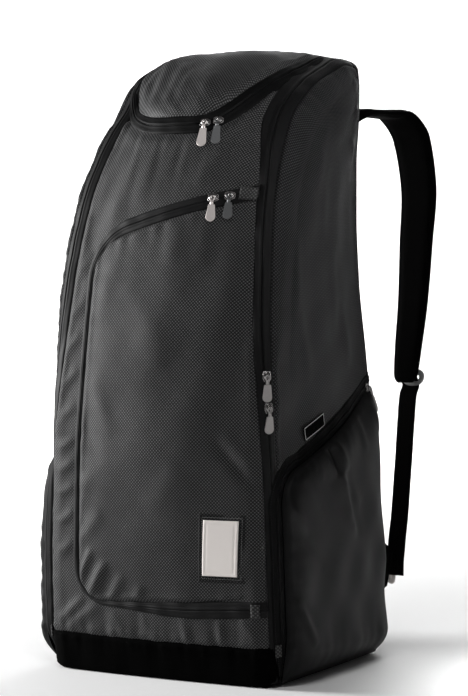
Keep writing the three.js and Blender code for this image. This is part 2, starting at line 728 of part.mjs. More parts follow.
function slider(turned) {
  // A plate with tapered ends, turned where its zip runs across, and a bail over it that holds the pull.
  const half = SLIDER.across / 2;
  const long = SLIDER.along / 2;
  const plate = new THREE.Shape([
    new THREE.Vector2(-half * 0.6, -long),
    new THREE.Vector2(half * 0.6, -long),
    new THREE.Vector2(half, -long * 0.3),
    new THREE.Vector2(half, long * 0.7),
    new THREE.Vector2(half * 0.7, long),
    new THREE.Vector2(-half * 0.7, long),
    new THREE.Vector2(-half, long * 0.7),
    new THREE.Vector2(-half, -long * 0.3),
  ]);
  const body = extruded(plate, SLIDER.thick);
  if (turned) body.rotateZ(Math.PI / 2);
  const sunk = 0.5;
  const arch = new THREE.Shape([
    new THREE.Vector2(-BAIL.along / 2, -sunk),
    new THREE.Vector2(-BAIL.along / 2 + BAIL.bar, -sunk),
    new THREE.Vector2(-BAIL.along / 2 + BAIL.bar, BAIL.rise - BAIL.bar),
    new THREE.Vector2(BAIL.along / 2 - BAIL.bar, BAIL.rise - BAIL.bar),
    new THREE.Vector2(BAIL.along / 2 - BAIL.bar, -sunk),
    new THREE.Vector2(BAIL.along / 2, -sunk),
    new THREE.Vector2(BAIL.along / 2, BAIL.rise - BAIL.bar),
    new THREE.Vector2(BAIL.along / 2 - BAIL.bar, BAIL.rise),
    new THREE.Vector2(-BAIL.along / 2 + BAIL.bar, BAIL.rise),
    new THREE.Vector2(-BAIL.along / 2, BAIL.rise - BAIL.bar),
  ]);
  const bail = extruded(arch, BAIL.across);
  bail.translate(0, 0, -BAIL.across / 2);
  bail.rotateX(Math.PI / 2);
  bail.rotateZ(Math.PI / 2);
  bail.translate(0, 0, SLIDER.thick);
  return fromManifold(toManifold(body).add(toManifold(bail)));
}

function pull() {
  // A flat tab that hangs from the bar above its eye. The bar lies on the local x axis.
  const half = PULL.width / 2;
  const neck = PULL.neck / 2;
  const head = PULL.bar / 2;
  const foot = head - PULL.length;
  const shape = new THREE.Shape();
  shape.moveTo(-neck, head);
  shape.lineTo(-neck, head - PULL.neckLength / 2);
  shape.lineTo(-half, head - 2 * PULL.neckLength);
  shape.lineTo(-half, foot + half);
  shape.absarc(0, foot + half, half, Math.PI, 2 * Math.PI);
  shape.lineTo(half, head - 2 * PULL.neckLength);
  shape.lineTo(neck, head - PULL.neckLength / 2);
  shape.lineTo(neck, head);
  shape.closePath();
  const eye = rectangle(PULL_EYE.width, PULL_EYE.length, 0, -head - PULL_EYE.length / 2);
  shape.holes.push(new THREE.Path(eye));
  const geometry = extruded(shape, PULL.thick, 4);
  geometry.translate(0, 0, -PULL.thick / 2);
  return geometry;
}

function restTilt(lift, clothHeight) {
  // The turn that lays a pull's foot on the cloth, just clear of it.
  const drop = lift + BAIL_AXIS - (clothHeight + GAP + PULL.thick / 2);
  return Math.asin(THREE.MathUtils.clamp(drop / (PULL.length - PULL.bar), -0.6, 0.6));
}

// Shoulder straps

function strapRing(middle, along, width, thick) {
  // A section with rounded edges, flat across the strap's width.
  const wide = new THREE.Vector3(1, 0, 0);
  wide.addScaledVector(along, -wide.dot(along)).normalize();
  const deep = new THREE.Vector3().crossVectors(along, wide);
  const edge = Math.min(thick / 2, width / 4) * 0.7;
  const corners = [
    [width / 2, -thick / 2 + edge],
    [width / 2, thick / 2 - edge],
    [width / 2 - edge, thick / 2],
    [-width / 2 + edge, thick / 2],
    [-width / 2, thick / 2 - edge],
    [-width / 2, -thick / 2 + edge],
    [-width / 2 + edge, -thick / 2],
    [width / 2 - edge, -thick / 2],
  ];
  return corners.map(([w, d]) => middle.clone().addScaledVector(wide, w).addScaledVector(deep, d));
}

function strap(rows, steps, side) {
  const curve = new THREE.CatmullRomCurve3(rows.map((row) => rowPoint(row, side)));
  const keys = rows.map((row, i) => i / (rows.length - 1));
  const widthAt = smoothColumn(keys, rows.map((row) => row.width ?? WEBBING.width));
  const thickAt = smoothColumn(keys, rows.map((row) => row.thick ?? WEBBING.thick));
  const rings = [];
  for (let i = 0; i <= steps; i += 1) {
    const k = i / steps;
    const first = i === 0 && rows === STRAP_ROWS;
    const along = first ? new THREE.Vector3(0, 1, 0) : curve.getTangent(k);
    rings.push(strapRing(curve.getPoint(k), along, widthAt(k), thickAt(k)));
  }
  return loft(rings);
}

function link(from, to, size) {
  // A flat loop with a window, which fills the way between two strap ends.
  const reach = from.distanceTo(to);
  const span = reach - size.headGap - size.footGap;
  const shape = new THREE.Shape(rectangle(size.width, span));
  shape.holes.push(new THREE.Path(rectangle(size.width - 2 * size.bar, span - 2 * size.bar)));
  const geometry = extruded(shape, size.thick);
  geometry.translate(0, 0, -size.thick / 2);
  const up = from.clone().sub(to).normalize();
  const wide = new THREE.Vector3(1, 0, 0);
  wide.addScaledVector(up, -wide.dot(up)).normalize();
  const deep = new THREE.Vector3().crossVectors(wide, up);
  const middle = from.clone().lerp(to, (size.headGap + span / 2) / reach);
  geometry.applyMatrix4(new THREE.Matrix4().makeBasis(wide, up, deep).setPosition(middle));
  return geometry;
}

function rowPoint(row, side) {
  return new THREE.Vector3(side * row.x, row.y, row.z);
}

function strapTabTip(side) {
  const middle = (STRAP_TAB.foot + STRAP_TAB.head) / 2;
  return new THREE.Vector3(side * STRAP_TAB.x, BACK_FACE + GAP + STRAP_TAB.reach, middle);
}

function strapTab(side) {
  // A cloth tab sewn into the back seam low down, which narrows to the strap's ring.
  const tip = strapTabTip(side);
  const shape = new THREE.Shape([
    new THREE.Vector2(BACK_FACE + GAP, STRAP_TAB.foot),
    new THREE.Vector2(tip.y, tip.z - STRAP_TAB.end / 2),
    new THREE.Vector2(tip.y, tip.z + STRAP_TAB.end / 2),
    new THREE.Vector2(BACK_FACE + GAP, STRAP_TAB.head),
  ]);
  const geometry = extruded(shape, STRAP_TAB.thick);
  geometry.translate(0, 0, -STRAP_TAB.thick / 2);
  geometry.applyMatrix4(new THREE.Matrix4().makeBasis(
    new THREE.Vector3(0, 1, 0),
    new THREE.Vector3(0, 0, 1),
    new THREE.Vector3(1, 0, 0),
  ));
  geometry.translate(side * STRAP_TAB.x, 0, 0);
  return geometry;
}

// The whole bag

const bag = new THREE.Group();

function addPiece(name, geometry, material) {
  const mesh = new THREE.Mesh(geometry, material);
  mesh.name = name;
  bag.add(mesh);
  return mesh;
}

addPiece('base', base(), BLACK_CLOTH);
addPiece('front_panel', frontPanel(), PATTERNED_CLOTH);
addPiece('hood', hood(), PATTERNED_CLOTH);
addPiece('back_panel', backPanel(), BLACK_CLOTH);
addPiece('front_pocket', frontPocket(), PATTERNED_CLOTH);
addPiece('main_zip', mainZip(), ZIP_CLOTH);
addPiece('hood_zip', hoodZip(), ZIP_CLOTH);
addPiece('front_pocket_zip', frontPocketZip(), ZIP_CLOTH);
addPiece('front_patch', frontPatch(), PALE_PATCH);
addPiece('side_label', sideLabel(), PLAIN_CLOTH);

for (const [name, side] of [['right', 1], ['left', -1]]) {
  addPiece(`${name}_side_panel`, sidePanel(side), PATTERNED_CLOTH);
  addPiece(`${name}_side_pocket`, sidePocket(side, SIDE_SWELL[name]), PLAIN_CLOTH);
  addPiece(`${name}_pocket_zip`, sidePocketZip(side), ZIP_CLOTH);
  const corner = (x, t, out) => clothPoint(side, CORNER_TAB.a + x, CORNER_TAB.t + t, out);
  addPiece(`${name}_zip_tab`, zipTab(corner), PATTERNED_CLOTH);
}

// The cloth tabs at the ends of the pocket zips
for (const [name, place] of [['upper', UPPER_TAB], ['lower', LOWER_TAB]]) {
  const point = (x, t, out) => frontPoint(place.x + x, place.t + t, out);
  addPiece(`${name}_zip_tab`, zipTab(point), PATTERNED_CLOTH);
}

for (const place of PULL_PLACES) {
  const point = (a, t, out) => (place.side ? clothPoint(place.side, a, t, out) : frontPoint(a, t, out));
  const frame = clothFrame(point, place.a, place.t);
  const body = addPiece(`${place.name}_slider`, slider(!place.side), SLIDER_METAL);
  body.applyMatrix4(frameMatrix(frame, place.lift + GAP, 0));
  const tab = addPiece(`${place.name}_pull`, pull(), place.bright ? PULL_METAL : SLIDER_METAL);
  const lift = place.lift + GAP;
  tab.applyMatrix4(frameMatrix(frame, lift + BAIL_AXIS, restTilt(lift, place.cloth)));
}

for (const [name, side] of [['right', 1], ['left', -1]]) {
  addPiece(`${name}_strap_pad`, strap(STRAP_ROWS, STRAP_STEPS, side), BLACK_CLOTH);
  addPiece(`${name}_strap_webbing`, strap(WEBBING_ROWS, WEBBING_STEPS, side), BLACK_CLOTH);
  addPiece(`${name}_strap_tab`, strapTab(side), BLACK_CLOTH);
  const padEnd = rowPoint(STRAP_ROWS[STRAP_ROWS.length - 1], side);
  const webbingStart = rowPoint(WEBBING_ROWS[0], side);
  const webbingEnd = rowPoint(WEBBING_ROWS[WEBBING_ROWS.length - 1], side);
  addPiece(`${name}_strap_adjuster`, link(padEnd, webbingStart, ADJUSTER), PALE_METAL);
  addPiece(`${name}_strap_ring`, link(webbingEnd, strapTabTip(side), RING), PALE_METAL);
}

export default bag;
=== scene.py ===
import json
import math
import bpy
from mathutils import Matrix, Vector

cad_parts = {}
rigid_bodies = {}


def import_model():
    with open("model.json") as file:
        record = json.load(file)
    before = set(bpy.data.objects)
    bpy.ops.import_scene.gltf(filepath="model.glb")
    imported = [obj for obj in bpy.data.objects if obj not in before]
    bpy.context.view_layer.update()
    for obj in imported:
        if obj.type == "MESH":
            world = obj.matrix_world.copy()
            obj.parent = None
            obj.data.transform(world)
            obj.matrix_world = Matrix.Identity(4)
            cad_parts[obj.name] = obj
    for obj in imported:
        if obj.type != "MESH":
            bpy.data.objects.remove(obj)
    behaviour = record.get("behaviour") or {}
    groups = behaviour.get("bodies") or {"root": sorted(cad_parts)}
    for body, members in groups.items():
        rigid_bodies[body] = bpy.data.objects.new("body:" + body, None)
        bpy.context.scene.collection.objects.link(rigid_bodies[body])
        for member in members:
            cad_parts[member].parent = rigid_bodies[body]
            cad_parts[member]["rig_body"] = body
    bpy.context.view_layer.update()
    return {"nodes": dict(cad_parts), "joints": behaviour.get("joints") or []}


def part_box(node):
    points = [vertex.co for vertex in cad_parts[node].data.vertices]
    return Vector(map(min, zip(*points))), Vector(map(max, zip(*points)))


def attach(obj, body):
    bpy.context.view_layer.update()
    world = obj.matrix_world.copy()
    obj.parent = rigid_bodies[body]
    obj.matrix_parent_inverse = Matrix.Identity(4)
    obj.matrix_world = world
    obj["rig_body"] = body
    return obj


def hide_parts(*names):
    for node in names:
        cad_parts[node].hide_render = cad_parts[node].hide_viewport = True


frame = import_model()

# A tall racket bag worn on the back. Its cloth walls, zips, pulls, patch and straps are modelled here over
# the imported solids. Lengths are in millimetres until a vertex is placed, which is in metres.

from types import SimpleNamespace

import bmesh
import bpy
import numpy as np
from mathutils import Matrix, Vector

MM = 0.001
JOIN = 1e-6

# The body of the bag, in rows up the front: the front's middle line, the back's height, the half widths in
# front and behind, the rounding of the front corner, and how far the front and the sides swell.
BODY_NAMES = ("y", "z", "back_z", "half", "back_half", "corner", "crown", "side_crown")
BODY_ROWS = np.array([
    (-152, 0, 3.3, 165, 157, 28, 4, 2),
    (-158, 55, 55, 167, 158, 28, 7, 4),
    (-163, 150, 150, 166, 156, 28, 10, 6),
    (-165, 280, 280, 162, 150, 28, 12, 7),
    (-156, 400, 400, 164, 139, 31, 14, 8),
    (-142, 500, 500, 167, 128, 36, 15, 9),
    (-118, 600, 590, 167, 124, 45, 18, 9),
    (-73, 682, 660, 165, 124, 52, 26, 8),
    (-28, 729, 708, 165, 127, 58, 33, 6),
    (25, 759, 740, 160, 128, 57, 33, 4),
    (85, 782, 760, 146, 128, 45, 24, 2),
    (135, 797, 771, 130, 126, 29, 13, 0),
    (154.5, 797, 773, 125, 125, 24, 13, 0),
], float)
CROWN_POWER = 1.25
SECTION_STEP = 0.5

# Where the sides end behind, the outer face of the back, the cloth's wall, how far a pocket's cloth and a
# zip's tape lie off the body, and the overlap in a seam.
BACK_Y = 155
BACK_FACE = 166.3
CLOTH = 1.6
RAISE = 2.8
TAPE_LIFT = 1.2
TAPE_WALL = 1
TAPE_WAVE = SimpleNamespace(height=0.35, pitch=30)
SEAM = 1.5

# The left shoulder is fuller than the right: how far it rises, and where along and across the cloth.
SHOULDER = SimpleNamespace(rise=23, start=745, full=815, fade_from=840, fade=0.6,
                           inner=16, outer=104, zip=22, back=110)

# How all cloth lies: its random waves, its gathers and folds, and its edges at a seam.
WAVES = SimpleNamespace(count=6, shortest=0.6, longest=1.6)
GATHER_START = 4
FOLD_FADE = 0.7
SEAM_DIP = 2.4
SEAM_ROLL = SimpleNamespace(at=6.5, width=4)

# How far from a seam the waves and folds of each cloth reach their full height.
FADE = SimpleNamespace(front=12, band=10, hood=10, side=14, top=20, base=12, pocket=12, side_pocket=14)

# How far a piece runs past the line where it meets its neighbour, or stops short of it.
LAP = SimpleNamespace(front=2, hood=4, side=1, band=1, floor=1, zip=2)
BEHIND = BACK_FACE - 1

# The black band and the bottom, the padded back, and the foot of the sides.
BAND = SimpleNamespace(past_top=2, past_foot=14, lift=0.8, thick=2)
BAND_TOP = 50
FLOOR_ROUND = 9
FLOOR_CORNER = 0.6
BACK_ROUND = 16
CORNER_TUCK = 0.3
BACK_PAD = SimpleNamespace(rise=11, round=9, lift=0.5, tuck=0.04, tuck_height=30, crest=90, thick=3)
BACK_LANE = SimpleNamespace(depth=2.2, at=52, width=4, start=4, full=30)
SIDE_FOOT = 12
SIDE_EVEN = 42
SIDE_SAMPLES = 7

# The main zip and the hood. The hood's radii turn its outline's ratio into a distance.
MAIN_ZIP = SimpleNamespace(low=25, high=3, turn_from=240, turn_to=500, width=19, over=20, foot=4, sunk=0.4,
                           past=0.6, wider=13, wider_from=628, wider_to=735)
HOOD = SimpleNamespace(middle=-6, left=134, right=80, foot=716, power=3.2, left_power=2.6, rim=12,
                       crowding=2.2, start=0.03)
HOOD_RADIUS = SimpleNamespace(inside=95, outside=115)
HOOD_SWELL = SimpleNamespace(left=4, right=2, start=0.1, end=0.6, power=5)
HOOD_TAPE = SimpleNamespace(left=6, right=25, foot=24, rim=18, lift=-0.3)
NO_HOOD_TAPE = SimpleNamespace(left=0, right=0, foot=0)
FRONT_UNDER_HOOD = 9

# The pockets. The tape under the front pocket is narrow at the left corner and widens to the right.
POCKET = SimpleNamespace(left=-110, left_top=-99, right=122, seam=3, foot_left=94, foot_right=108,
                         head_left=545, head_right=611, round=48, swell=6, power=4, fall=3, fall_from=40)
POCKET_TAPE = SimpleNamespace(head=19, left=8, foot=20)
NO_POCKET_TAPE = SimpleNamespace(head=0, left=0, foot=0)
FOOT_TAPE = SimpleNamespace(least=0.3, widen_from=0.15, widen_to=0.75)
SIDE_POCKET = SimpleNamespace(start=47, foot=40, under=39, under_share=0.16, under_lift=1, corner=20,
                              head_front=272, head_back=361, round=50, power=10, head_power=20, lean=0.5,
                              narrow=0.7, swing_from=10, swing_to=75)
SIDE_HEAD_RISE = {1: 0, -1: 18}
SIDE_SWING = {1: 7, -1: 0}
SIDE_SWELL = {1: 22, -1: 28}
SIDE_EDGE_RISE = {1: 5, -1: 14}
SIDE_PUCKER = {1: 0.8, -1: 0.5}
SIDE_EDGE_FADE = SimpleNamespace(back=0.5, foot=50)
SIDE_BELOW = SimpleNamespace(folds=8, gathers=10)
SIDE_SAG = SimpleNamespace(reach=9, height=55)
SIDE_LEG = 0.15
SIDE_FILL = SimpleNamespace(head=290, foot=165, start=0.68)
SIDE_TAPE = 19

# A zip's section: how far its two halves and the slit between them stand, for shares of its width.
ZIP_SHARES = (0, 0.06, 0.14, 0.3, 0.4, 0.45, 0.5, 0.55, 0.6, 0.7, 0.86, 0.94, 1)
ZIP_HEIGHTS = (-1.6, -0.3, 0.1, 0.2, 0.9, 0.6, -2.0, 0.6, 0.9, 0.2, 0.1, -0.3, -1.6)

# Sewn-on pieces, and the stitches that hold them and the zips.
PATCH = SimpleNamespace(x=102.5, t=174.5, width=46, height=70, thick=1.5, shear=4, lift=1.2, bevel=1.4,
                        groove=0.5, groove_at=4.5, wall=1.2)
BACKING = SimpleNamespace(shift=1.5, wider=15, taller=16, stitch=4.6, thick=0.5, lift=0.2, bevel=1.2,
                          groove=0.4, wall=0.6)
GROOVE_WIDTH = 0.9
PATCH_CREASE = 0.3
LABEL = SimpleNamespace(near=112, far=164, foot=303, rise=18, slant=17, shear=5, thick=0.8, lift=2.4,
                        bevel=1, border=1, wall=0.8)
ZIP_TAB = SimpleNamespace(thick=2, lift=2.6, bevel=2, hem=0.3, hem_at=3, hem_width=1, wall=1)
UPPER_TAB = SimpleNamespace(x=112.5, t=617, width=24, length=17)
LOWER_TAB = SimpleNamespace(x=146, t=98, width=11, length=17)
CORNER_TAB = SimpleNamespace(x=33.5, t=46, width=9, length=17)
ZIP_STITCH = SimpleNamespace(pitch=3.2, length=2.0, radius=0.3)
PATCH_STITCH = SimpleNamespace(pitch=2.6, length=1.7, radius=0.34)
STITCH_LINE_STEPS = 300
SIDE_STITCHES = SimpleNamespace(margins=(16.5, 3), lift=0.5, run=0.97)
POCKET_STITCHES = SimpleNamespace(margins=(3, 16), lift=0.4, left_share=0.42)

# Zip sliders and pulls: the cloth place of each slider and how far it stands off the cloth.
SLIDER = SimpleNamespace(across=11.5, along=14, thick=3, foot=-0.4, plate=1.4, bevel=0.6)
SLIDER_CORNERS = ((0.6, -1), (1, -0.3), (1, 0.6), (0.75, 1))
DOME = SimpleNamespace(across=0.72, along=0.8, rise=1.7, shift=0.5, columns=24, rows=12)
BAIL = SimpleNamespace(radius=3.5, bar=1.3, sunk=0.6, steps=14)
PULL = SimpleNamespace(width=12.5, shoulder=8.5, neck=4, neck_length=5.6, neck_rise=2.2, head=10.5, top=0.7,
                       length=33, hood_length=37, thick=1.8, bevel=0.45, ring=3, wire=0.8, steps=20, arc=15)
WIRE_SIDES = 8
PLATE_ROUNDING = 2
PULL_PLACES = {
    "hood_left": (0, 32, 707, 0),
    "hood_right": (0, 48, 712, 0),
    "pocket_left": (0, 68, 608, 2.3),
    "pocket_right": (0, 89, 612, 2.3),
    "main_upper": (1, 24, 389, 0),
    "main_lower": (1, 28, 350, 0),
    "right_side": (1, 322, 357, 2.3),
    "left_side": (-1, 322, 357, 2.3),
}
DARK_PULLS = ("hood_right", "pocket_right")
BRIGHT_PULLS = ("hood_left", "pocket_left")

# The right shoulder strap, from the top of the back down to its adjuster: x, y, z, width and thickness. Its
# pad is fullest in the middle and flat along its bound edges.
STRAP_ROWS = np.array([
    (64, 166.3, 700, 62, 11),
    (70, 195, 713, 62, 11),
    (84, 248, 730, 61, 11),
    (102, 307, 730, 59, 12),
    (117, 341, 697, 57, 12),
    (127, 344, 630, 55, 12),
    (131, 328, 550, 51, 12),
    (135, 310, 470, 46, 12),
    (139, 287, 405, 41, 11),
    (141, 273, 358, 35, 10),
], float)
PAD_SHARES = (0, 0.5, 0.68, 0.78, 0.82, 0.87, 0.93, 0.98, 1)
PAD_HEIGHTS = (1, 0.97, 0.86, 0.55, 0.36, 0.46, 0.46, 0.3, 0)
PAD_END = SimpleNamespace(length=14, width=0.55, closed=0.995)
PAD_PUFF = SimpleNamespace(share=0.05, pitch=45)
STRAP_STEP = 0.002
RIM_NEAR = 1e-9

# The webbing below the pad, the cloth tab that holds its end, and the two loops on it.
WEBBING_ROWS = np.array([
    (142, 283, 364),
    (143.5, 286, 355),
    (144, 277, 342),
    (146, 266, 307),
    (150, 248, 240),
    (151, 235, 173),
    (151, 227, 138),
    (150, 224.5, 113),
    (150, 224, 97),
], float)
WEBBING = SimpleNamespace(width=25.5, thick=2)
STRAP_TAB = SimpleNamespace(x=148, foot=70, head=160, tip_low=(200, 86), tip_high=(219, 131), thick=3,
                            bulge=0.8, hem=1.3, hem_at=0.94, hem_width=0.05)
ADJUSTER = SimpleNamespace(middle=(147, 287, 365), lean=0.3, width=33, span=25, bar=8, thick=4, corner=0.85)
RING = SimpleNamespace(middle=(142, 229, 96), lean=0, width=13, span=24, bar=6.4, thick=4, corner=0.6)
LOOP_MEASURE = SimpleNamespace(round=10, bar=2)

# Folds of the cloth: a line from one cloth place to another, its width and its height above the cloth.
FRONT_FOLDS = (
    (-50, 690, -84, 560, 13, 2.6), (-86, 700, -112, 590, 12, 2.4), (-22, 690, -44, 600, 12, 1.8),
    (6, 690, -8, 630, 9, 1.3), (28, 688, 14, 636, 9, 1.3), (66, 676, 40, 622, 10, 1.4),
    (100, 690, 92, 640, 10, 1.8), (-124, 600, -116, 480, 12, 2.0), (-98, 610, -126, 470, 12, -1.4),
    (-142, 288, -116, 300, 6, 2.8), (-142, 258, -116, 272, 6, 2.6), (-143, 229, -116, 240, 6, 2.8),
    (-144, 191, -116, 208, 6, 2.8), (-146, 150, -116, 170, 7, 2.6), (-148, 62, -104, 98, 6, 3.4),
    (-134, 56, -78, 92, 7, 2.6), (-60, 84, -44, 54, 7, 2.0), (-14, 84, -4, 54, 6, 1.6),
    (40, 84, 52, 54, 6, 1.6), (94, 86, 98, 56, 6, 2.2), (124, 86, 148, 60, 6, 2.2),
    (-142, 326, -116, 344, 7, 2.4), (-140, 366, -114, 390, 7, 2.6), (-136, 412, -112, 436, 7, 2.4),
    (-132, 455, -108, 484, 8, 2.2), (-128, 506, -104, 540, 8, 2.0),
)
HOOD_FOLDS = (
    (-104, 764, -84, 840, 8, 2.6), (-62, 732, -92, 862, 10, 3.0), (-34, 722, -52, 820, 9, 2.4),
    (-14, 718, -30, 800, 8, 1.8), (22, 718, 8, 790, 9, 1.8), (50, 726, 40, 790, 9, 1.6),
    (-74, 740, -104, 850, 9, -1.6), (66, 770, 60, 830, 9, 1.2),
)
POCKET_FOLDS = (
    (92, 308, 150, 248, 6, -3.2), (102, 318, 152, 270, 8, 2.0), (-84, 380, -52, 306, 12, 2.0),
    (-98, 330, -70, 270, 11, -1.4), (-88, 262, -106, 210, 11, 2.2), (-66, 210, -110, 168, 10, 2.4),
    (-62, 150, -96, 96, 7, 4.4), (-84, 164, -112, 116, 6, 3.8), (-38, 134, -62, 92, 7, 3.0),
    (-10, 124, -22, 94, 7, 2.2), (144, 182, 126, 134, 8, 1.6), (4, 210, 52, 276, 18, 1.6),
    (-40, 500, 30, 400, 20, 1.8), (30, 590, 20, 520, 12, 1.4), (60, 595, 66, 520, 12, 1.6),
    (96, 600, 110, 440, 16, 1.4), (-60, 560, -84, 440, 14, 1.8),
)
SIDE_FOLDS = (
    (70, 800, 110, 640, 12, 1.6), (120, 700, 150, 560, 14, 1.4), (60, 600, 84, 470, 10, 1.6),
    (180, 560, 210, 430, 16, 1.8), (90, 470, 130, 380, 12, 1.4), (230, 480, 262, 390, 14, 1.8),
    (226, 742, 176, 790, 7, 2.6), (214, 772, 164, 816, 7, 2.6), (196, 800, 148, 838, 6, 2.4),
    (172, 828, 128, 862, 6, 2.2), (240, 700, 190, 748, 8, 2.2),
)
SIDE_POCKET_FOLDS = (
    (152, 306, 172, 256, 5, -7), (138, 300, 158, 254, 7, 4), (168, 310, 192, 260, 7, 3.5),
    (128, 258, 206, 190, 8, -4.5), (118, 266, 200, 198, 8, 3.5), (166, 280, 208, 176, 9, 3.5),
    (184, 262, 226, 170, 9, -3), (54, 238, 86, 188, 8, 2.6), (50, 214, 126, 140, 9, -2.0),
    (54, 112, 96, 48, 7, 3.6), (176, 252, 232, 214, 9, 2.0), (300, 160, 332, 84, 10, 2.0),
    (98, 258, 130, 204, 7, 1.8), (240, 330, 260, 280, 8, 2.0), (300, 344, 312, 300, 8, 2.0),
)

# Grid counts of the pieces, across and along, and of the zips along their runs.
GRID = SimpleNamespace(front=(104, 216), hood=(84, 64), pocket=(84, 160), side=(92, 216),
                       side_pocket=(92, 104), band=(110, 22), floor=(90, 60), back=(70, 160), patch=(50, 70),
                       backing=(54, 72), label=(52, 18), tab=(20, 22), strap_pad=(48, 150), webbing=(8, 90),
                       strap_tab=(22, 22), loop=(64, 12))
ZIP_COLUMNS = 24
ZIP_ROWS = SimpleNamespace(main=320, over=120, hood=260, front_pocket=420, side_pocket=300)

# The room, in metres: the floor's line, which turns up behind the bag, and how far it reaches to each side.
FLOOR_LINE = ((-6, 0), (2.5, 0), (3.4, 0.12), (4.1, 0.5), (4.5, 1.2), (4.6, 5))
FLOOR_HALF = 8
FLOOR = SimpleNamespace(roughness=0.9, scale=3, detail=2, dark=(0.94, 0.94, 0.94), light=(0.96, 0.96, 0.96))
SKY = SimpleNamespace(light=0.07, seen=0.8)

# The camera stands where the photograph was taken from.
CAMERA = SimpleNamespace(azimuth=30, distance=3214, height=555, lens=126.72, pitch=2.524, yaw=0.374, far=50)


def mix(start, end, share):
    return start + (end - start) * share


def smooth_step(value, start, end):
    share = np.clip((value - start) / (end - start), 0, 1)
    return share * share * (3 - 2 * share)


def bell(distance, width):
    # 1 at no distance, falling away smoothly over the width.
    return np.exp(-(distance / width) ** 2)


def rounded(edge, radius):
    # Rises from 0 at an edge to 1 at the radius, along a quarter circle.
    return np.sqrt(np.clip(1 - (1 - np.clip(edge / radius, 0, 1)) ** 2, 0, 1))


def turned(edge, radius):
    # How far a rounded edge falls away at a distance from its rim.
    return radius * (1 - rounded(edge, radius))


def nearest(*distances):
    return np.minimum.reduce(distances)


def smooth_column(keys, values):
    # A smooth curve through the values that never overshoots them.
    steps = np.diff(keys)
    rates = np.diff(values) / steps
    slopes = np.zeros(len(values))
    same = rates[:-1] * rates[1:] > 0
    slopes[1:-1][same] = 2 * rates[:-1][same] * rates[1:][same] / (rates[:-1] + rates[1:])[same]
    slopes[0] = rates[0]
    slopes[-1] = rates[-1]

    def at(key):
        i = np.clip(np.searchsorted(keys, key) - 1, 0, len(steps) - 1)
        s = np.clip((key - keys[i]) / steps[i], 0, 1)
        start = (1 + 2 * s) * (1 - s) ** 2 * values[i] + s * (1 - s) ** 2 * steps[i] * slopes[i]
        end = s * s * (3 - 2 * s) * values[i + 1] + s * s * (s - 1) * steps[i] * slopes[i + 1]
        return start + end

    return at


def lengths_along(points):
    steps = np.linalg.norm(np.diff(points, axis=0), axis=1)
    return np.concatenate([[0], np.cumsum(steps)])


ROW_HEIGHTS = lengths_along(BODY_ROWS[:, :2])
TOP = ROW_HEIGHTS[-1]
HEAD = TOP - MAIN_ZIP.over
BODY = {name: smooth_column(ROW_HEIGHTS, BODY_ROWS[:, i]) for i, name in enumerate(BODY_NAMES)}


def body_at(t):
    # The bag's section at a height t, which is measured along the cloth of the front.
    t = np.asarray(t, float)
    row = SimpleNamespace(**{name: column(t) for name, column in BODY.items()})
    low = np.maximum(t - SECTION_STEP, 0)
    high = np.minimum(t + SECTION_STEP, TOP)
    run = BODY["y"](high) - BODY["y"](low)
    rise = BODY["z"](high) - BODY["z"](low)
    length = np.hypot(run, rise)
    row.normal_y = -rise / length
    row.normal_z = run / length
    row.edge = row.half - row.corner
    row.arc = row.corner * math.pi / 2
    row.corner_y = row.y - row.corner * row.normal_y
    row.corner_z = row.z - row.corner * row.normal_z
    row.depth = np.hypot(BACK_Y - row.corner_y, row.back_z - row.corner_z)
    return row


def shoulder_rise(x, a, t):
    rising = smooth_step(t, SHOULDER.start, SHOULDER.full)
    fading = 1 - SHOULDER.fade * smooth_step(t, SHOULDER.fade_from, TOP)
    outer = smooth_step(x, SHOULDER.inner, SHOULDER.outer)
    ahead = 1 - smooth_step(a, SHOULDER.zip, SHOULDER.back)
    return SHOULDER.rise * rising * fading * outer * ahead


def cloth_point(side, a, t, out):
    # A point of the body's cloth. a runs from the front's edge round the corner to the back.
    a, t, out = np.broadcast_arrays(np.asarray(a, float), np.asarray(t, float), np.asarray(out, float))
    row = body_at(t)
    x = row.edge + a
    lift = row.crown * (1 - np.clip(np.abs(x) / row.edge, 0, 1) ** 2) ** CROWN_POWER + out
    front = np.stack([x, row.y + row.normal_y * lift, row.z + row.normal_z * lift], -1)
    turn = np.clip(a / row.corner, 0, math.pi / 2)
    reach = (row.corner + out) * np.cos(turn)
    corner_x = row.edge + (row.corner + out) * np.sin(turn)
    corner_y = row.corner_y + row.normal_y * reach
    corner_z = row.corner_z + row.normal_z * reach
    corner = np.stack([corner_x, corner_y, corner_z], -1)
    k = np.clip((a - row.arc) / row.depth, 0, 1)
    wall_x = mix(row.half, row.back_half, k) + row.side_crown * np.sin(math.pi * k) ** 2 + out
    wall = np.stack([wall_x, mix(row.corner_y, BACK_Y, k), mix(row.corner_z, row.back_z, k)], -1)
    point = np.where((a <= 0)[..., None], front, np.where((a <= row.arc)[..., None], corner, wall))
    point[..., 0] *= side
    point[..., 2] += np.where(np.asarray(side) < 0, shoulder_rise(x, a, t), 0)
    return point


def front_point(x, t, out):
    x = np.asarray(x, float)
    return cloth_point(np.where(x < 0, -1.0, 1.0), np.abs(x) - body_at(t).edge, t, out)


def measured(points, *places):
    # Points of a cloth together with its own measure, which its weave follows.
    return points, np.stack(places, -1)


def back_at(t):
    row = body_at(t)
    return row.arc + row.depth


def zip_start(t):
    return mix(MAIN_ZIP.low, MAIN_ZIP.high, smooth_step(t, MAIN_ZIP.turn_from, MAIN_ZIP.turn_to))


def front_reach(t):
    return body_at(t).edge + zip_start(t)


def zip_widening(t):
    # The right run of the main zip widens towards the top.
    return MAIN_ZIP.wider * smooth_step(t, MAIN_ZIP.wider_from, MAIN_ZIP.wider_to)


def even_bunched(u):
    # Draws the lines of a grid closer together towards its two edges.
    w = 2 * u - 1
    return (1.5 * w - 0.5 * w ** 3 + 1) / 2


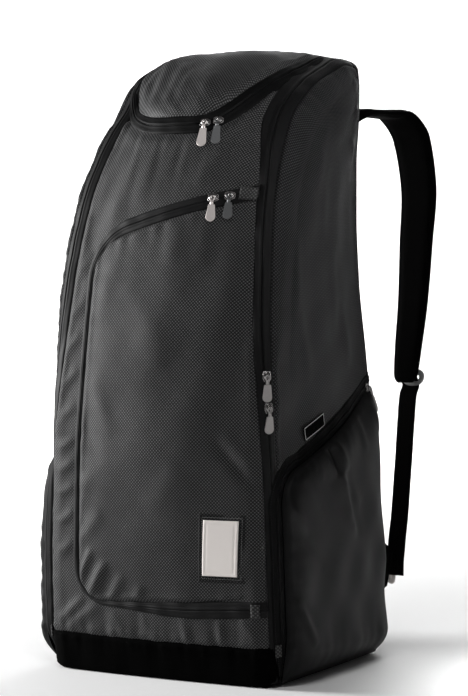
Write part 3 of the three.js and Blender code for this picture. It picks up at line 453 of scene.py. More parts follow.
def pillow(u, v, power):
    return (1 - np.abs(2 * u - 1) ** power) * (1 - np.abs(2 * v - 1) ** power)


# How cloth lies: soft waves, gathers beside a seam, folds, and edges that turn down into a seam.

def waves(x, y, pitch, seed):
    # Soft random waves, mostly between -1 and 1.
    chance = np.random.default_rng(seed)
    total = np.zeros(np.broadcast(x, y).shape)
    for _ in range(WAVES.count):
        angle, phase = chance.uniform(0, 2 * math.pi, 2)
        step = 2 * math.pi / (pitch * chance.uniform(WAVES.shortest, WAVES.longest))
        total = total + np.sin((x * math.cos(angle) + y * math.sin(angle)) * step + phase)
    return total / math.sqrt(WAVES.count)


def gathers(distance, run, depth, reach, pitch, seed):
    # Puckers that stand square to a seam and fade away from it.
    ripple = waves(run, 0 * run, pitch, seed)
    fade = np.exp(-np.maximum(distance, 0) / reach) * smooth_step(distance, 0, GATHER_START)
    return depth * ripple * fade


def seam_edge(distance, depth, roll):
    # The cloth sinks into its seam and rolls up a little just before it.
    sunk = -depth * bell(np.maximum(distance, 0), SEAM_DIP)
    return sunk + roll * bell(distance - SEAM_ROLL.at, SEAM_ROLL.width)


def folds(x, t, rows):
    total = np.zeros(np.broadcast(x, t).shape)
    for x0, t0, x1, t1, width, height in rows:
        length = math.hypot(x1 - x0, t1 - t0)
        ahead_x = (x1 - x0) / length
        ahead_t = (t1 - t0) / length
        along = ((x - x0) * ahead_x + (t - t0) * ahead_t) / length
        across = (x - x0) * ahead_t - (t - t0) * ahead_x
        fade = np.clip(4 * along * (1 - along), 0, 1) ** FOLD_FADE
        total = total + height * fade * bell(across, width)
    return total


# Materials. Cloth patterns run on the cloth's own measure, which each piece keeps as its UV map.

MOTTLE = SimpleNamespace(scale=14, share=0.5, least=0.72)
WEAR = SimpleNamespace(scale=900, detail=2, depth=0.03)
METAL_SHARE = 0.6


class Finish:
    """A material in the making: a principled shader and the nodes that feed it."""

    def __init__(self, name, roughness, **sockets):
        self.material = bpy.data.materials.new(name)
        self.material.use_nodes = True
        self.tree = self.material.node_tree
        self.shader = self.tree.nodes["Principled BSDF"]
        self.shader.inputs["Roughness"].default_value = roughness
        for socket, value in sockets.items():
            self.shader.inputs[socket.replace("_", " ")].default_value = value

    def node(self, kind, inputs=(), **settings):
        node = self.tree.nodes.new(kind)
        for setting, value in settings.items():
            setattr(node, setting, value)
        for socket, value in dict(inputs).items():
            if isinstance(value, bpy.types.NodeSocket):
                self.tree.links.new(value, node.inputs[socket])
            else:
                node.inputs[socket].default_value = value
        return node

    def reckon(self, operation, *values):
        return self.node("ShaderNodeMath", enumerate(values), operation=operation).outputs[0]

    def colours(self, share, dark, light):
        ramp = self.node("ShaderNodeValToRGB", {"Fac": share})
        ramp.color_ramp.elements[0].color = (*dark, 1)
        ramp.color_ramp.elements[1].color = (*light, 1)
        self.tree.links.new(ramp.outputs["Color"], self.shader.inputs["Base Color"])

    def bump(self, height, depth):
        bump = self.node("ShaderNodeBump", {"Height": height, "Distance": depth * MM, "Strength": 1.0})
        self.tree.links.new(bump.outputs["Normal"], self.shader.inputs["Normal"])

    def noise(self, scale, detail=3.0):
        place = self.node("ShaderNodeTexCoord").outputs["Object"]
        noise = self.node("ShaderNodeTexNoise", {"Vector": place, "Scale": scale, "Detail": detail})
        return noise.outputs["Fac"]

    def threads(self, pitch, turn):
        # Two crossing sets of threads on the cloth's measure. Gives 0 in the gaps to 1 on the dots.
        cloth = self.node("ShaderNodeUVMap", uv_map="cloth").outputs["UV"]
        turned_cloth = self.node("ShaderNodeMapping", {
            "Vector": cloth,
            "Rotation": (0, 0, math.radians(turn)),
            "Scale": (math.pi / (pitch * MM),) * 3,
        })
        axes = self.node("ShaderNodeSeparateXYZ", {"Vector": turned_cloth.outputs["Vector"]})
        warp = self.reckon("SINE", axes.outputs["X"])
        weft = self.reckon("SINE", axes.outputs["Y"])
        crossing = self.reckon("MULTIPLY", warp, weft)
        return self.reckon("MULTIPLY", crossing, crossing)


def woven(name, dark, light, pitch, turn, depth, roughness, shine):
    finish = Finish(name, roughness, Specular_IOR_Level=shine)
    dots = finish.threads(pitch, turn)
    mottle = finish.reckon("MULTIPLY_ADD", finish.noise(MOTTLE.scale), MOTTLE.share, MOTTLE.least)
    finish.colours(finish.reckon("MULTIPLY", dots, mottle), dark, light)
    finish.bump(dots, depth)
    return finish.material


def metal(name, dark, light, roughness, share=METAL_SHARE):
    finish = Finish(name, roughness, Metallic=share)
    wear = finish.noise(WEAR.scale, WEAR.detail)
    finish.colours(wear, dark, light)
    finish.bump(wear, WEAR.depth)
    return finish.material


# A weave's values: dark and light colour, its threads' pitch, turn and depth, roughness and shine.
PATTERNED = woven("patterned_cloth", (0.0015, 0.0015, 0.0016), (0.105, 0.105, 0.107),
                  3.0, 45, 0.3, 0.6, 0.14)
# The sides' copy of the patterned cloth is darker than the front's: painted shade for the sides, which turn
# away from the light.
SHADED_SIDE_PATTERNED = woven("side_cloth_painted_shade", (0.0007, 0.0007, 0.0008), (0.053, 0.053, 0.055),
                       3.2, 45, 0.4, 0.6, 0.12)
PRESSED = woven("pressed_cloth", (0.001, 0.001, 0.0011), (0.05, 0.05, 0.051), 3.0, 45, 0.15, 0.6, 0.1)
PLAIN = woven("plain_cloth", (0.002, 0.002, 0.0021), (0.0092, 0.0092, 0.0096), 0.9, 0, 0.06, 0.6, 0.13)
BLACK = woven("black_cloth", (0.0003, 0.0003, 0.0003), (0.002, 0.002, 0.002), 1.1, 0, 0.08, 0.9, 0.015)
BACK_CLOTH = woven("back_cloth", (0.002, 0.002, 0.0021), (0.02, 0.02, 0.0205), 4, 45, 0.5, 0.7, 0.1)
TAPE = woven("zip_tape", (0.002, 0.002, 0.0021), (0.0105, 0.0105, 0.011), 1.0, 0, 0.06, 0.55, 0.11)
WEB = woven("strap_web", (0.0004, 0.0004, 0.0004), (0.002, 0.002, 0.002), 1.6, 45, 0.16, 0.85, 0.02)
DARK_TAPE = woven("dark_zip_tape", (0.001, 0.001, 0.0011), (0.005, 0.005, 0.0052), 1.0, 0, 0.06, 0.6, 0.07)
TAB_WEAVE = woven("zip_tab_weave", (0.008, 0.008, 0.008), (0.09, 0.09, 0.09), 3.4, 45, 0.3, 0.6, 0.2)
BUCKLE = woven("buckle_grey", (0.13, 0.13, 0.13), (0.16, 0.16, 0.16), 0.6, 0, 0.01, 0.45, 0.4)
THREAD = woven("dark_thread", (0.01, 0.01, 0.01), (0.04, 0.04, 0.04), 0.5, 30, 0.03, 0.6, 0.2)
GREY_THREAD = woven("grey_thread", (0.2, 0.2, 0.2), (0.4, 0.4, 0.4), 0.5, 30, 0.03, 0.6, 0.2)
PALE = woven("pale_patch", (0.84, 0.785, 0.75), (0.9, 0.85, 0.82), 0.8, 0, 0.03, 0.6, 0.2)
OUTLINE = woven("label_outline", (0.35, 0.35, 0.35), (0.5, 0.5, 0.5), 0.8, 0, 0.02, 0.6, 0.2)
BRIGHT_METAL = metal("bright_metal", (0.5, 0.455, 0.44), (0.6, 0.555, 0.54), 0.45)
# The bright metal again, made darker: painted shade for the pulls on the main zip and the side pockets.
SHADED_BRIGHT_METAL = metal("bright_metal_painted_shade", (0.24, 0.225, 0.22), (0.31, 0.295, 0.29), 0.45)
DARK_METAL = metal("dark_metal", (0.075, 0.077, 0.08), (0.11, 0.112, 0.115), 0.45)
SLIDER_METAL = metal("slider_metal", (0.2, 0.19, 0.19), (0.3, 0.29, 0.285), 0.26, 1.0)


# Mesh helpers.

def new_cloth():
    bm = bmesh.new()
    bm.loops.layers.uv.new("cloth")
    return bm


def add_sheet(bm, grid, place, flip=False, keep=None):
    # A grid whose corners are laid by place(u, v), which gives points and their cloth measure.
    cloth_map = bm.loops.layers.uv["cloth"]
    made = bmesh.ops.create_grid(bm, x_segments=grid[0], y_segments=grid[1], size=0.5)["verts"]
    at = np.array([vert.co[:2] for vert in made]) + 0.5
    points, measure = place(at[:, 0], at[:, 1])
    for vert, point in zip(made, points):
        vert.co = Vector(point) * MM
    cloth_at = {vert: Vector(cloth) * MM for vert, cloth in zip(made, measure)}
    faces = list(dict.fromkeys(face for vert in made for face in vert.link_faces))
    for face in faces:
        for loop in face.loops:
            loop[cloth_map].uv = cloth_at[loop.vert]
    if flip:
        bmesh.ops.reverse_faces(bm, faces=faces)
    if keep is not None:
        kept = keep(at[:, 0], at[:, 1])
        bmesh.ops.delete(bm, geom=[vert for vert, stays in zip(made, kept) if not stays], context="VERTS")
    return made


def close_tube(bm, verts):
    # Joins the seams of a rolled-up grid and closes open ends.
    bmesh.ops.remove_doubles(bm, verts=verts, dist=JOIN)
    open_edges = [edge for edge in bm.edges if edge.is_boundary]
    if open_edges:
        bmesh.ops.holes_fill(bm, edges=open_edges, sides=0)
    bmesh.ops.recalc_face_normals(bm, faces=bm.faces)


def finish_piece(name, bm, materials, replaced=(), body="bag", thick=0, offset=-1):
    mesh = bpy.data.meshes.new(name)
    bm.to_mesh(mesh)
    bm.free()
    for polygon in mesh.polygons:
        polygon.use_smooth = len(polygon.vertices) <= 4
    piece = bpy.data.objects.new(name, mesh)
    bpy.context.scene.collection.objects.link(piece)
    for material in materials:
        mesh.materials.append(material)
    if thick:
        wall = piece.modifiers.new("cloth_wall", "SOLIDIFY")
        wall.thickness = thick * MM
        wall.offset = offset
    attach(piece, body)
    if replaced:
        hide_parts(*replaced)
    return piece


def sew(name, grid, place, material, replaced=(), thick=CLOTH, offset=-1, flip=False, keep=None):
    # One piece of cloth from one grid.
    bm = new_cloth()
    add_sheet(bm, grid, place, flip, keep)
    return finish_piece(name, bm, [material], replaced, thick=thick, offset=offset)


# The body's cloth.

def hood_side(value, margin):
    # The hood's half width and the power of its curve, to the left of its middle (negative) or to the right.
    half = np.where(value < 0, HOOD.left + margin.left, HOOD.right + margin.right)
    power = np.where(value < 0, HOOD.left_power, HOOD.power)
    return half, power


def hood_ratio(x, t, margin):
    # 1 on the hood's outline, less inside it.
    half, power = hood_side(x - HOOD.middle, margin)
    across = np.abs(x - HOOD.middle) / half
    hang = np.maximum(HEAD - t, 0) / (HEAD - HOOD.foot + margin.foot)
    return (across ** power + hang ** power) ** (1 / power)


def front_panel():
    def lay(u, v):
        t = mix(BAND_TOP - LAP.front, HEAD + LAP.front, v)
        reach = front_reach(t) - SEAM
        return mix(-reach, reach - zip_widening(t), u), t

    def hood_distance(x, t):
        return (hood_ratio(x, t, HOOD_TAPE) - 1) * HOOD_RADIUS.outside

    def place(u, v):
        x, t = lay(u, v)
        side = front_reach(t) - SEAM - np.where(x > 0, x + zip_widening(t), -x)
        hood_edge = hood_distance(x, t)
        foot = t - BAND_TOP
        out = 0.7 * waves(x, t, pitch=95, seed=3) + 0.2 * waves(x, t, pitch=34, seed=4)
        out = out + folds(x, t, FRONT_FOLDS)
        out = out * smooth_step(side, 0, FADE.front) * smooth_step(foot, 0, FADE.band)
        out = out + gathers(side, t, depth=0.7, reach=16, pitch=15, seed=5)
        out = out + gathers(foot, x, depth=1.5, reach=16, pitch=16, seed=6)
        out = out + gathers(hood_edge, x, depth=0.9, reach=18, pitch=17, seed=7)
        out = out + seam_edge(side, depth=1.8, roll=0.9) + seam_edge(foot, depth=1.6, roll=0.8)
        out = out + seam_edge(hood_edge, depth=2.2, roll=1.2)
        return measured(front_point(x, t, out), x, t)

    def keep(u, v):
        return hood_distance(*lay(u, v)) > -FRONT_UNDER_HOOD

    sew("front_panel_cloth", GRID.front, place, PATTERNED, ["front_panel"], keep=keep)


def hood_outline(turn, margin, rim):
    # turn runs from -1 at the left end of the hood's edge, through 0 at its foot, to 1 at the right end.
    hang = 1 - np.abs(turn) ** HOOD.crowding
    half, power = hood_side(turn, margin)
    reach = half * (1 - hang ** power) ** (1 / power)
    t = HEAD - (HEAD - HOOD.foot + margin.foot) * hang
    x = HOOD.middle + np.where(turn < 0, -reach, reach)
    return np.maximum(x, -front_reach(t) - rim), t


def hood():
    def place(u, v):
        turn = mix(HOOD.start, 1, v)
        run = even_bunched(u)
        left, t = hood_outline(-turn, NO_HOOD_TAPE, HOOD.rim)
        right, _ = hood_outline(turn, NO_HOOD_TAPE, HOOD.rim)
        x = mix(left, right, run)
        edge = nearest(x - left, right - x, (1 - hood_ratio(x, t, NO_HOOD_TAPE)) * HOOD_RADIUS.inside)
        edge = np.minimum(np.maximum(edge, 0), HEAD + LAP.hood - t)
        swell = mix(HOOD_SWELL.left, HOOD_SWELL.right, smooth_step(run, HOOD_SWELL.start, HOOD_SWELL.end))
        out = swell * pillow(run, v, HOOD_SWELL.power)
        soft = folds(x, t, HOOD_FOLDS) + 0.9 * waves(x, t, pitch=80, seed=11)
        out = out + soft * smooth_step(edge, 0, FADE.hood)
        out = out + gathers(edge, x + t, depth=1.0, reach=18, pitch=16, seed=12)
        out = out + seam_edge(edge, depth=1.8, roll=1.2)
        return measured(front_point(x, t, out), x, t)

    sew("hood_cloth", GRID.hood, place, PATTERNED, ["hood"])


def side_point(side, a, t, start, out):
    # A point of the side, evened out where its round front corner meets the flat of the side.
    reach = nearest(a - start, back_at(t) - a, np.full_like(a, SIDE_EVEN))
    steps = np.linspace(-1, 1, SIDE_SAMPLES)
    return np.mean([cloth_point(side, a + step * reach, t, out) for step in steps], axis=0)


def side_panel(side, name):
    def place(u, v):
        t = mix(SIDE_FOOT, TOP - LAP.side, v)
        start = zip_start(t) + MAIN_ZIP.width + SEAM
        a = mix(start, back_at(t), u)
        near = a - start
        far = back_at(t) - a
        out = 0.8 * waves(a, t, pitch=110, seed=21 + side) + folds(a, t, SIDE_FOLDS)
        out = out * smooth_step(near, 0, FADE.side) * smooth_step(far, 0, FADE.side)
        out = out * smooth_step(TOP - t, 0, FADE.top)
        out = out + gathers(near, t, depth=0.7, reach=16, pitch=16, seed=23)
        out = out + gathers(far, t, depth=0.6, reach=14, pitch=18, seed=24)
        out = out + seam_edge(near, depth=1.8, roll=0.9) + seam_edge(far, depth=1.4, roll=0.5)
        return measured(side_point(side, a, t, start, out), a, t)

    # The side panels take the darker copy of the patterned cloth, which is painted shade.
    sew(name + "_cloth", GRID.side, place, SHADED_SIDE_PATTERNED, [name], flip=side < 0)


def base():
    def band(u, v):
        t = mix(0, BAND_TOP + LAP.band, v)
        x = mix(-1, 1, u) * (front_reach(t) + mix(BAND.past_top, BAND.past_foot, 1 - t / BAND_TOP))
        out = BAND.lift - turned(t, FLOOR_ROUND)
        out = out + 0.6 * waves(x, t, pitch=60, seed=31) * smooth_step(t, 0, FADE.base)
        out = out + seam_edge(BAND_TOP + LAP.band - t, depth=1.8, roll=0.9)
        out = out + gathers(BAND_TOP - t, x, depth=0.7, reach=12, pitch=15, seed=32)
        return measured(front_point(x, t, out), x, t)

    def floor(u, v):
        # The bag's bottom turns up at its sides and at the back.
        foot = body_at(0.0)
        across = mix(-1, 1, u)
        half = mix(foot.half, foot.back_half, v) - LAP.floor
        front = front_point(across * (foot.edge + foot.arc * FLOOR_CORNER), 0, -FLOOR_ROUND)[:, 1]
        y = mix(front, BEHIND, v)
        back_turn = turned(BEHIND - y, BACK_ROUND)
        side_turn = turned((1 - np.abs(across)) * half, BACK_ROUND)
        x = across * (half - CORNER_TUCK * back_turn)
        return measured(np.stack([x, y, np.maximum(back_turn, side_turn)], -1), x, y)

    bm = new_cloth()
    add_sheet(bm, GRID.band, band)
    add_sheet(bm, GRID.floor, floor, flip=True)
    finish_piece("base_cloth", bm, [BLACK], ["base"], thick=BAND.thick)


def back_crest(x):
    # How far the bag's top stands above the side's back edge, where the top ends at the back.
    end = body_at(TOP)
    past = np.abs(x) - end.edge
    round_corner = end.corner * np.arcsin(np.clip(past / end.corner, 0, 1))
    side = np.where(x < 0, -1.0, 1.0)
    return cloth_point(side, np.where(past > 0, round_corner, past), TOP, 0)[:, 2] - end.back_z


def back_panel():
    def place(u, v):
        t = mix(SIDE_FOOT, TOP, v)
        row = body_at(t)
        x = mix(-1, 1, u) * row.back_half
        foot = t - SIDE_FOOT
        edge = nearest(row.back_half - np.abs(x), foot, TOP - t)
        x = x * (1 - BACK_PAD.tuck * (1 - smooth_step(foot, 0, BACK_PAD.tuck_height)))
        rise = BACK_PAD.rise * rounded(edge, BACK_PAD.round)
        lane = BACK_LANE.depth * bell(np.abs(x) - BACK_LANE.at, BACK_LANE.width)
        lane = lane * smooth_step(edge, BACK_LANE.start, BACK_LANE.full)
        z = row.back_z + back_crest(x) * smooth_step(t, TOP - BACK_PAD.crest, TOP)
        return measured(np.stack([x, BACK_Y + BACK_PAD.lift + rise - lane, z], -1), x, t)

    panel = sew("back_padding", GRID.back, place, BACK_CLOTH, ["back_panel"],
                thick=BACK_PAD.thick, flip=True)


# Pockets.

def pocket_left(t, margin):
    edge = mix(POCKET.left, POCKET.left_top, smooth_step(t, POCKET.foot_left, POCKET.head_left))
    return edge - margin.left


def pocket_foot(x, margin):
    share = (x - POCKET.left) / (POCKET.right - POCKET.left)
    tape = mix(FOOT_TAPE.least, 1, smooth_step(share, FOOT_TAPE.widen_from, FOOT_TAPE.widen_to))
    return mix(POCKET.foot_left, POCKET.foot_right, share) - margin.foot * tape


def pocket_head(x, margin):
    share = (x - POCKET.left) / (POCKET.right - POCKET.left)
    return mix(POCKET.head_left, POCKET.head_right, share) + margin.head


def pocket_place(run, rise, margin):
    # run goes from left to right and rise from foot to head.
    outermost = POCKET.left - margin.left
    rounding = POCKET.round + margin.left
    foot = pocket_foot(outermost, margin)
    head = pocket_head(outermost + rounding, margin)
    t = mix(foot, head, rise)
    left = pocket_left(t, margin) + turned(np.minimum(t - foot, head - t), rounding)
    x = mix(left, front_reach(t) - POCKET.seam, run)
    return x, mix(pocket_foot(x, margin), pocket_head(x, margin), rise)


def pocket_lift(x, t, crease=1):
    # How far the front pocket's cloth stands off the front. What lies on it takes a part of its creases.
    left = x - pocket_left(t, NO_POCKET_TAPE)
    right = front_reach(t) - POCKET.seam - x
    foot = t - pocket_foot(x, NO_POCKET_TAPE)
    head = pocket_head(x, NO_POCKET_TAPE) - t
    full = pillow(left / (left + right), foot / (foot + head), POCKET.power)
    out = RAISE + POCKET.swell * full - POCKET.fall * smooth_step(x, POCKET.fall_from, POCKET.right)
    soft = folds(x, t, POCKET_FOLDS) + 0.8 * waves(x, t, pitch=110, seed=41)
    soft = soft + 0.12 * waves(x, t, pitch=36, seed=46)
    out = out + crease * soft * smooth_step(nearest(left, right, foot, head), 0, FADE.pocket)
    out = out + gathers(foot, x, depth=1.1, reach=13, pitch=13, seed=42)
    out = out + gathers(head, x, depth=0.8, reach=16, pitch=16, seed=43)
    out = out + gathers(left, t, depth=1.2, reach=15, pitch=17, seed=44)
    out = out + gathers(right, t, depth=0.6, reach=14, pitch=18, seed=45)
    out = out + seam_edge(nearest(foot, head, left), depth=1.8, roll=1.0)
    return out + seam_edge(right, depth=2.2, roll=0.6)


def front_pocket():
    def place(u, v):
        x, t = pocket_place(even_bunched(u), even_bunched(v), NO_POCKET_TAPE)
        return measured(front_point(x, t, pocket_lift(x, t)), x, t)

    sew("front_pocket_cloth", GRID.pocket, place, PATTERNED, ["front_pocket"])


def side_pocket_place(side, run, rise, margin):
    # run goes from the pocket's front edge to the back and rise from its foot to its head.
    head = SIDE_POCKET.head_front + SIDE_HEAD_RISE[side] + margin
    t = mix(SIDE_POCKET.foot, head, rise)
    front = SIDE_POCKET.start - margin + turned(head - t, SIDE_POCKET.round + margin)
    slope = SIDE_POCKET.head_back - SIDE_POCKET.head_front
    return mix(front, back_at(t), run), t + slope * run * rise


def side_fill(side, t):
    # The left pocket fills out towards its foot.
    if side > 0:
        return 1
    return mix(SIDE_FILL.start, 1, smooth_step(-t, -SIDE_FILL.head, -SIDE_FILL.foot))


def side_edge_rise(side, run, t):
    # How far the pocket's zipped edge stands off the bag. It comes back to the bag at its foot and behind.
    ahead = 1 - smooth_step(run, SIDE_EDGE_FADE.back, 1)
    return SIDE_EDGE_RISE[side] * side_fill(side, t) * ahead * smooth_step(t, 0, SIDE_EDGE_FADE.foot)


def foot_swing(t):
    # 1 at the side pocket's foot, where its edge swings forward, and 0 above it.
    return 1 - smooth_step(t, SIDE_POCKET.swing_from, SIDE_POCKET.swing_to)


def side_pocket(side, name):
    def place(u, v):
        run = even_bunched(u)
        turn = math.pi / 2 * np.clip(v / SIDE_POCKET.under_share, 0, 1)
        rise = even_bunched(np.clip((v - SIDE_POCKET.under_share) / (1 - SIDE_POCKET.under_share), 0, 1))
        a, t = side_pocket_place(side, run, rise, 0)
        front, _ = side_pocket_place(side, 0 * run, rise, 0)
        _, head = side_pocket_place(side, run, 0 * rise + 1, 0)
        near = a - front
        top = head - t
        full = (1 - np.abs(2 * run - 1) ** SIDE_POCKET.power) * (1 - rise ** SIDE_POCKET.head_power)
        edge_rise = side_edge_rise(side, run, t)
        sag = SIDE_SAG.reach * bell(t, SIDE_SAG.height)
        swell = edge_rise + (SIDE_SWELL[side] * side_fill(side, t) - edge_rise + sag) * full
        soft = folds(a, t, SIDE_POCKET_FOLDS) + 1.2 * waves(a, t, pitch=70, seed=51 + side)
        edge = nearest(near, top, back_at(t) - a, t + SIDE_BELOW.folds)
        out = RAISE + swell + soft * smooth_step(edge, 0, FADE.side_pocket)
        out = out + gathers(near, t, depth=SIDE_PUCKER[side], reach=22, pitch=17, seed=52)
        out = out + gathers(top, a, depth=SIDE_PUCKER[side], reach=20, pitch=16, seed=53)
        foot = t - SIDE_POCKET.foot + SIDE_BELOW.gathers
        out = out + gathers(foot, a, depth=SIDE_PUCKER[side], reach=16, pitch=18, seed=54)
        out = out + seam_edge(np.minimum(near, top), depth=1.8, roll=1.0)
        leaning = SIDE_POCKET.lean * (1 - run) * np.maximum(out - RAISE, 0)
        t = t - SIDE_POCKET.under * np.cos(turn)
        out = mix(out, SIDE_POCKET.under_lift, np.cos(turn) ** 2)
        tuck = turned(t, SIDE_POCKET.corner)
        forward = leaning * np.sin(turn) + tuck * run + SIDE_SWING[side] * foot_swing(t) * (1 - run)
        return measured(cloth_point(side, a - forward, t, out), a, t)

    sew(name + "_cloth", GRID.side_pocket, place, PLAIN, [name], flip=side < 0)


# Zips: two halves of smooth tape that meet in a thin slit.

def zip_height(share):
    return np.interp(share, ZIP_SHARES, ZIP_HEIGHTS)


def zip_share(u):
    # Spreads the columns of a tape so that its slit is drawn sharply.
    return np.interp(u, np.linspace(0, 1, len(ZIP_SHARES)), ZIP_SHARES)


def tape_waves(x, t, seed):
    return TAPE_WAVE.height * waves(x, t, TAPE_WAVE.pitch, seed)


def tape_between(inner, outer, u, lift, seed):
    # A zip's tape between two edges, each given as its cloth places. Gives places and heights off the body.
    share = zip_share(u)
    x = mix(inner[0], outer[0], share)
    t = mix(inner[1], outer[1], share)
    return x, t, lift + zip_height(share) + tape_waves(x, t, seed)


def main_zip():
    def run(side):
        def place(u, v):
            t = mix(MAIN_ZIP.foot, TOP - LAP.zip, v)
            share = zip_share(u)
            width = MAIN_ZIP.width + 4 * SEAM + (zip_widening(t) if side > 0 else 0)
            a = zip_start(t) + MAIN_ZIP.width + 2 * SEAM - width * (1 - share)
            out = zip_height(share) - MAIN_ZIP.sunk + tape_waves(a, t, seed=61)
            return measured(cloth_point(side, a, t, out), width * share, t)
        return place

    def over(u, v):
        share = zip_share(v)
        t = mix(HEAD, TOP, share)
        x = mix(-1, 1, u) * (front_reach(t) + MAIN_ZIP.width * MAIN_ZIP.past)
        return measured(front_point(x, t, zip_height(share) - MAIN_ZIP.sunk), x, t)

    bm = new_cloth()
    add_sheet(bm, (ZIP_COLUMNS, ZIP_ROWS.main), run(1))
    add_sheet(bm, (ZIP_COLUMNS, ZIP_ROWS.main), run(-1), flip=True)
    add_sheet(bm, (ZIP_ROWS.over, ZIP_COLUMNS), over)
    finish_piece("main_zip_tape", bm, [TAPE], ["main_zip"], thick=TAPE_WALL)


def hood_zip():
    def place(u, v):
        inner = hood_outline(mix(-1, 1, v), NO_HOOD_TAPE, HOOD.rim)
        outer = hood_outline(mix(-1, 1, v), HOOD_TAPE, HOOD_TAPE.rim)
        x, t, out = tape_between(inner, outer, u, HOOD_TAPE.lift, seed=71)
        return measured(front_point(x, np.minimum(t, HEAD), out), x, t)

    sew("hood_zip_tape", (ZIP_COLUMNS, ZIP_ROWS.hood), place, DARK_TAPE, ["hood_zip"],
        thick=TAPE_WALL)


def pocket_outline(v, margin):
    # Runs along the head from the right, down the left edge and back along the foot.
    leg = np.clip(v * 3, 0, 3)
    head_x, head_t = pocket_place(1 - np.clip(leg, 0, 1), 0 * v + 1, margin)
    left_x, left_t = pocket_place(0 * v, 1 - even_bunched(np.clip(leg - 1, 0, 1)), margin)
    foot_x, foot_t = pocket_place(np.clip(leg - 2, 0, 1), 0 * v, margin)
    x = np.where(leg <= 1, head_x, np.where(leg <= 2, left_x, foot_x))
    t = np.where(leg <= 1, head_t, np.where(leg <= 2, left_t, foot_t))
    return x, t


def front_pocket_zip():
    def place(u, v):
        inner = pocket_outline(v, NO_POCKET_TAPE)
        outer = pocket_outline(v, POCKET_TAPE)
        x, t, out = tape_between(inner, outer, u, TAPE_LIFT, seed=72)
        return measured(front_point(x, t, out), x, t)

    sew("front_pocket_zip_tape", (ZIP_COLUMNS, ZIP_ROWS.front_pocket), place, TAPE,
        ["front_pocket_zip"], thick=TAPE_WALL, flip=True)


def side_outline(side, v, margin):
    # Runs up the side pocket's front edge and along its head to the back.
    leg = np.clip(v * 2, 0, 2)
    below = mix(SIDE_FOOT, SIDE_POCKET.foot, np.clip(leg / SIDE_LEG, 0, 1))
    leg = np.where(leg < 1, np.clip((leg - SIDE_LEG) / (1 - SIDE_LEG), 0, 1), leg)
    near_a, near_t = side_pocket_place(side, 0 * v, even_bunched(np.clip(leg, 0, 1)), margin)
    head_a, head_t = side_pocket_place(side, np.clip(leg - 1, 0, 1), 0 * v + 1, margin)
    near_t = np.where(leg > 0, near_t, below)
    near_a = near_a + (SIDE_POCKET.narrow * margin - SIDE_SWING[side]) * foot_swing(near_t)
    return np.where(leg <= 1, near_a, head_a), np.where(leg <= 1, near_t, head_t)


def side_tape_point(side, a, t, out, v, inward):
    # A point of a side pocket's tape. Its inner edge rises and leans forward with the pocket's edge.
    risen = side_edge_rise(side, np.clip(2 * v - 1, 0, 1), t) * inward
    return cloth_point(side, a - SIDE_POCKET.lean * risen, t, out + risen)


def side_pocket_zip(side, name):
    def place(u, v):
        inner = side_outline(side, v, 0)
        outer = side_outline(side, v, SIDE_TAPE)
        a, t, out = tape_between(inner, outer, u, TAPE_LIFT, seed=73 + side)
        return measured(side_tape_point(side, a, t, out, v, 1 - zip_share(u)), a, t)

    sew(name + "_tape", (ZIP_COLUMNS, ZIP_ROWS.side_pocket), place, DARK_TAPE, [name],
        thick=TAPE_WALL, flip=side > 0)


# Stitches: short rods of thread set end to end along a line.

def add_stitches(bm, line, stitch):
    # line gives points for shares of its run.
    shares = np.linspace(0, 1, STITCH_LINE_STEPS)
    run = lengths_along(line(shares))
    count = int(run[-1] / stitch.pitch)
    middles = (np.arange(count) + 0.5) * run[-1] / count
    starts = line(np.interp(middles - stitch.length / 2, run, shares)) * MM
    ends = line(np.interp(middles + stitch.length / 2, run, shares)) * MM
    for start, end in zip(map(Vector, starts), map(Vector, ends)):
        turn = (end - start).to_track_quat("X", "Z").to_matrix().to_4x4()
        rod = Matrix.Diagonal(((end - start).length / 2, stitch.radius * MM, stitch.radius * MM, 1))
        bmesh.ops.create_icosphere(bm, subdivisions=1, radius=1,
                                   matrix=Matrix.Translation((start + end) / 2) @ turn @ rod)


def rectangle_line(x, t, width, height, place):
    # A line round a rectangle of cloth.
    corners = np.array([(-1, -1), (1, -1), (1, 1), (-1, 1), (-1, -1)]) * (width / 2, height / 2) + (x, t)
    run = lengths_along(corners)

    def line(shares):
        at = shares * run[-1]
        return place(np.interp(at, run, corners[:, 0]), np.interp(at, run, corners[:, 1]))

    return line


def zip_stitches():
    # Dark stitches along the cloth edges of the pocket zips.
    def along_side(side, margin):
        def line(shares):
            a, t = side_outline(side, shares * SIDE_STITCHES.run, margin)
            lift = TAPE_LIFT + SIDE_STITCHES.lift
            return side_tape_point(side, a, t, lift, shares, 1 - margin / SIDE_TAPE)
        return line

    def round_pocket(margin):
        edge = SimpleNamespace(head=margin, left=margin * POCKET_STITCHES.left_share, foot=margin)

        def line(shares):
            return front_point(*pocket_outline(shares, edge), TAPE_LIFT + POCKET_STITCHES.lift)
        return line

    bm = bmesh.new()
    for side in (1, -1):
        for margin in SIDE_STITCHES.margins:
            add_stitches(bm, along_side(side, margin), ZIP_STITCH)
    for margin in POCKET_STITCHES.margins:
        add_stitches(bm, round_pocket(margin), ZIP_STITCH)
    finish_piece("zip_stitches", bm, [THREAD])


# Sewn-on pieces.

def rim_distance(u, v, width, height):
    return nearest(u * width, (1 - u) * width, v * height, (1 - v) * height)


def patch_piece(name, x, width, height, size, groove_at, grid, material, replaced=()):
    # A sheared panel on the front pocket, with rounded edges and a groove sewn round it.
    def place(u, v):
        edge = rim_distance(u, v, width, height)
        at_x = x + (u - 0.5) * width + (v - 0.5) * PATCH.shear
        t = PATCH.t + (v - 0.5) * height
        out = pocket_lift(at_x, t, PATCH_CREASE) + size.lift + size.thick * rounded(edge, size.bevel)
        out = out - size.groove * bell(edge - groove_at, GROOVE_WIDTH)
        return measured(front_point(at_x, t, out), at_x, t)

    sew(name, grid, place, material, replaced, thick=size.wall)


def front_patch():
    patch_piece("front_patch_leather", PATCH.x, PATCH.width, PATCH.height, PATCH, PATCH.groove_at,
                GRID.patch, PALE, ["front_patch"])


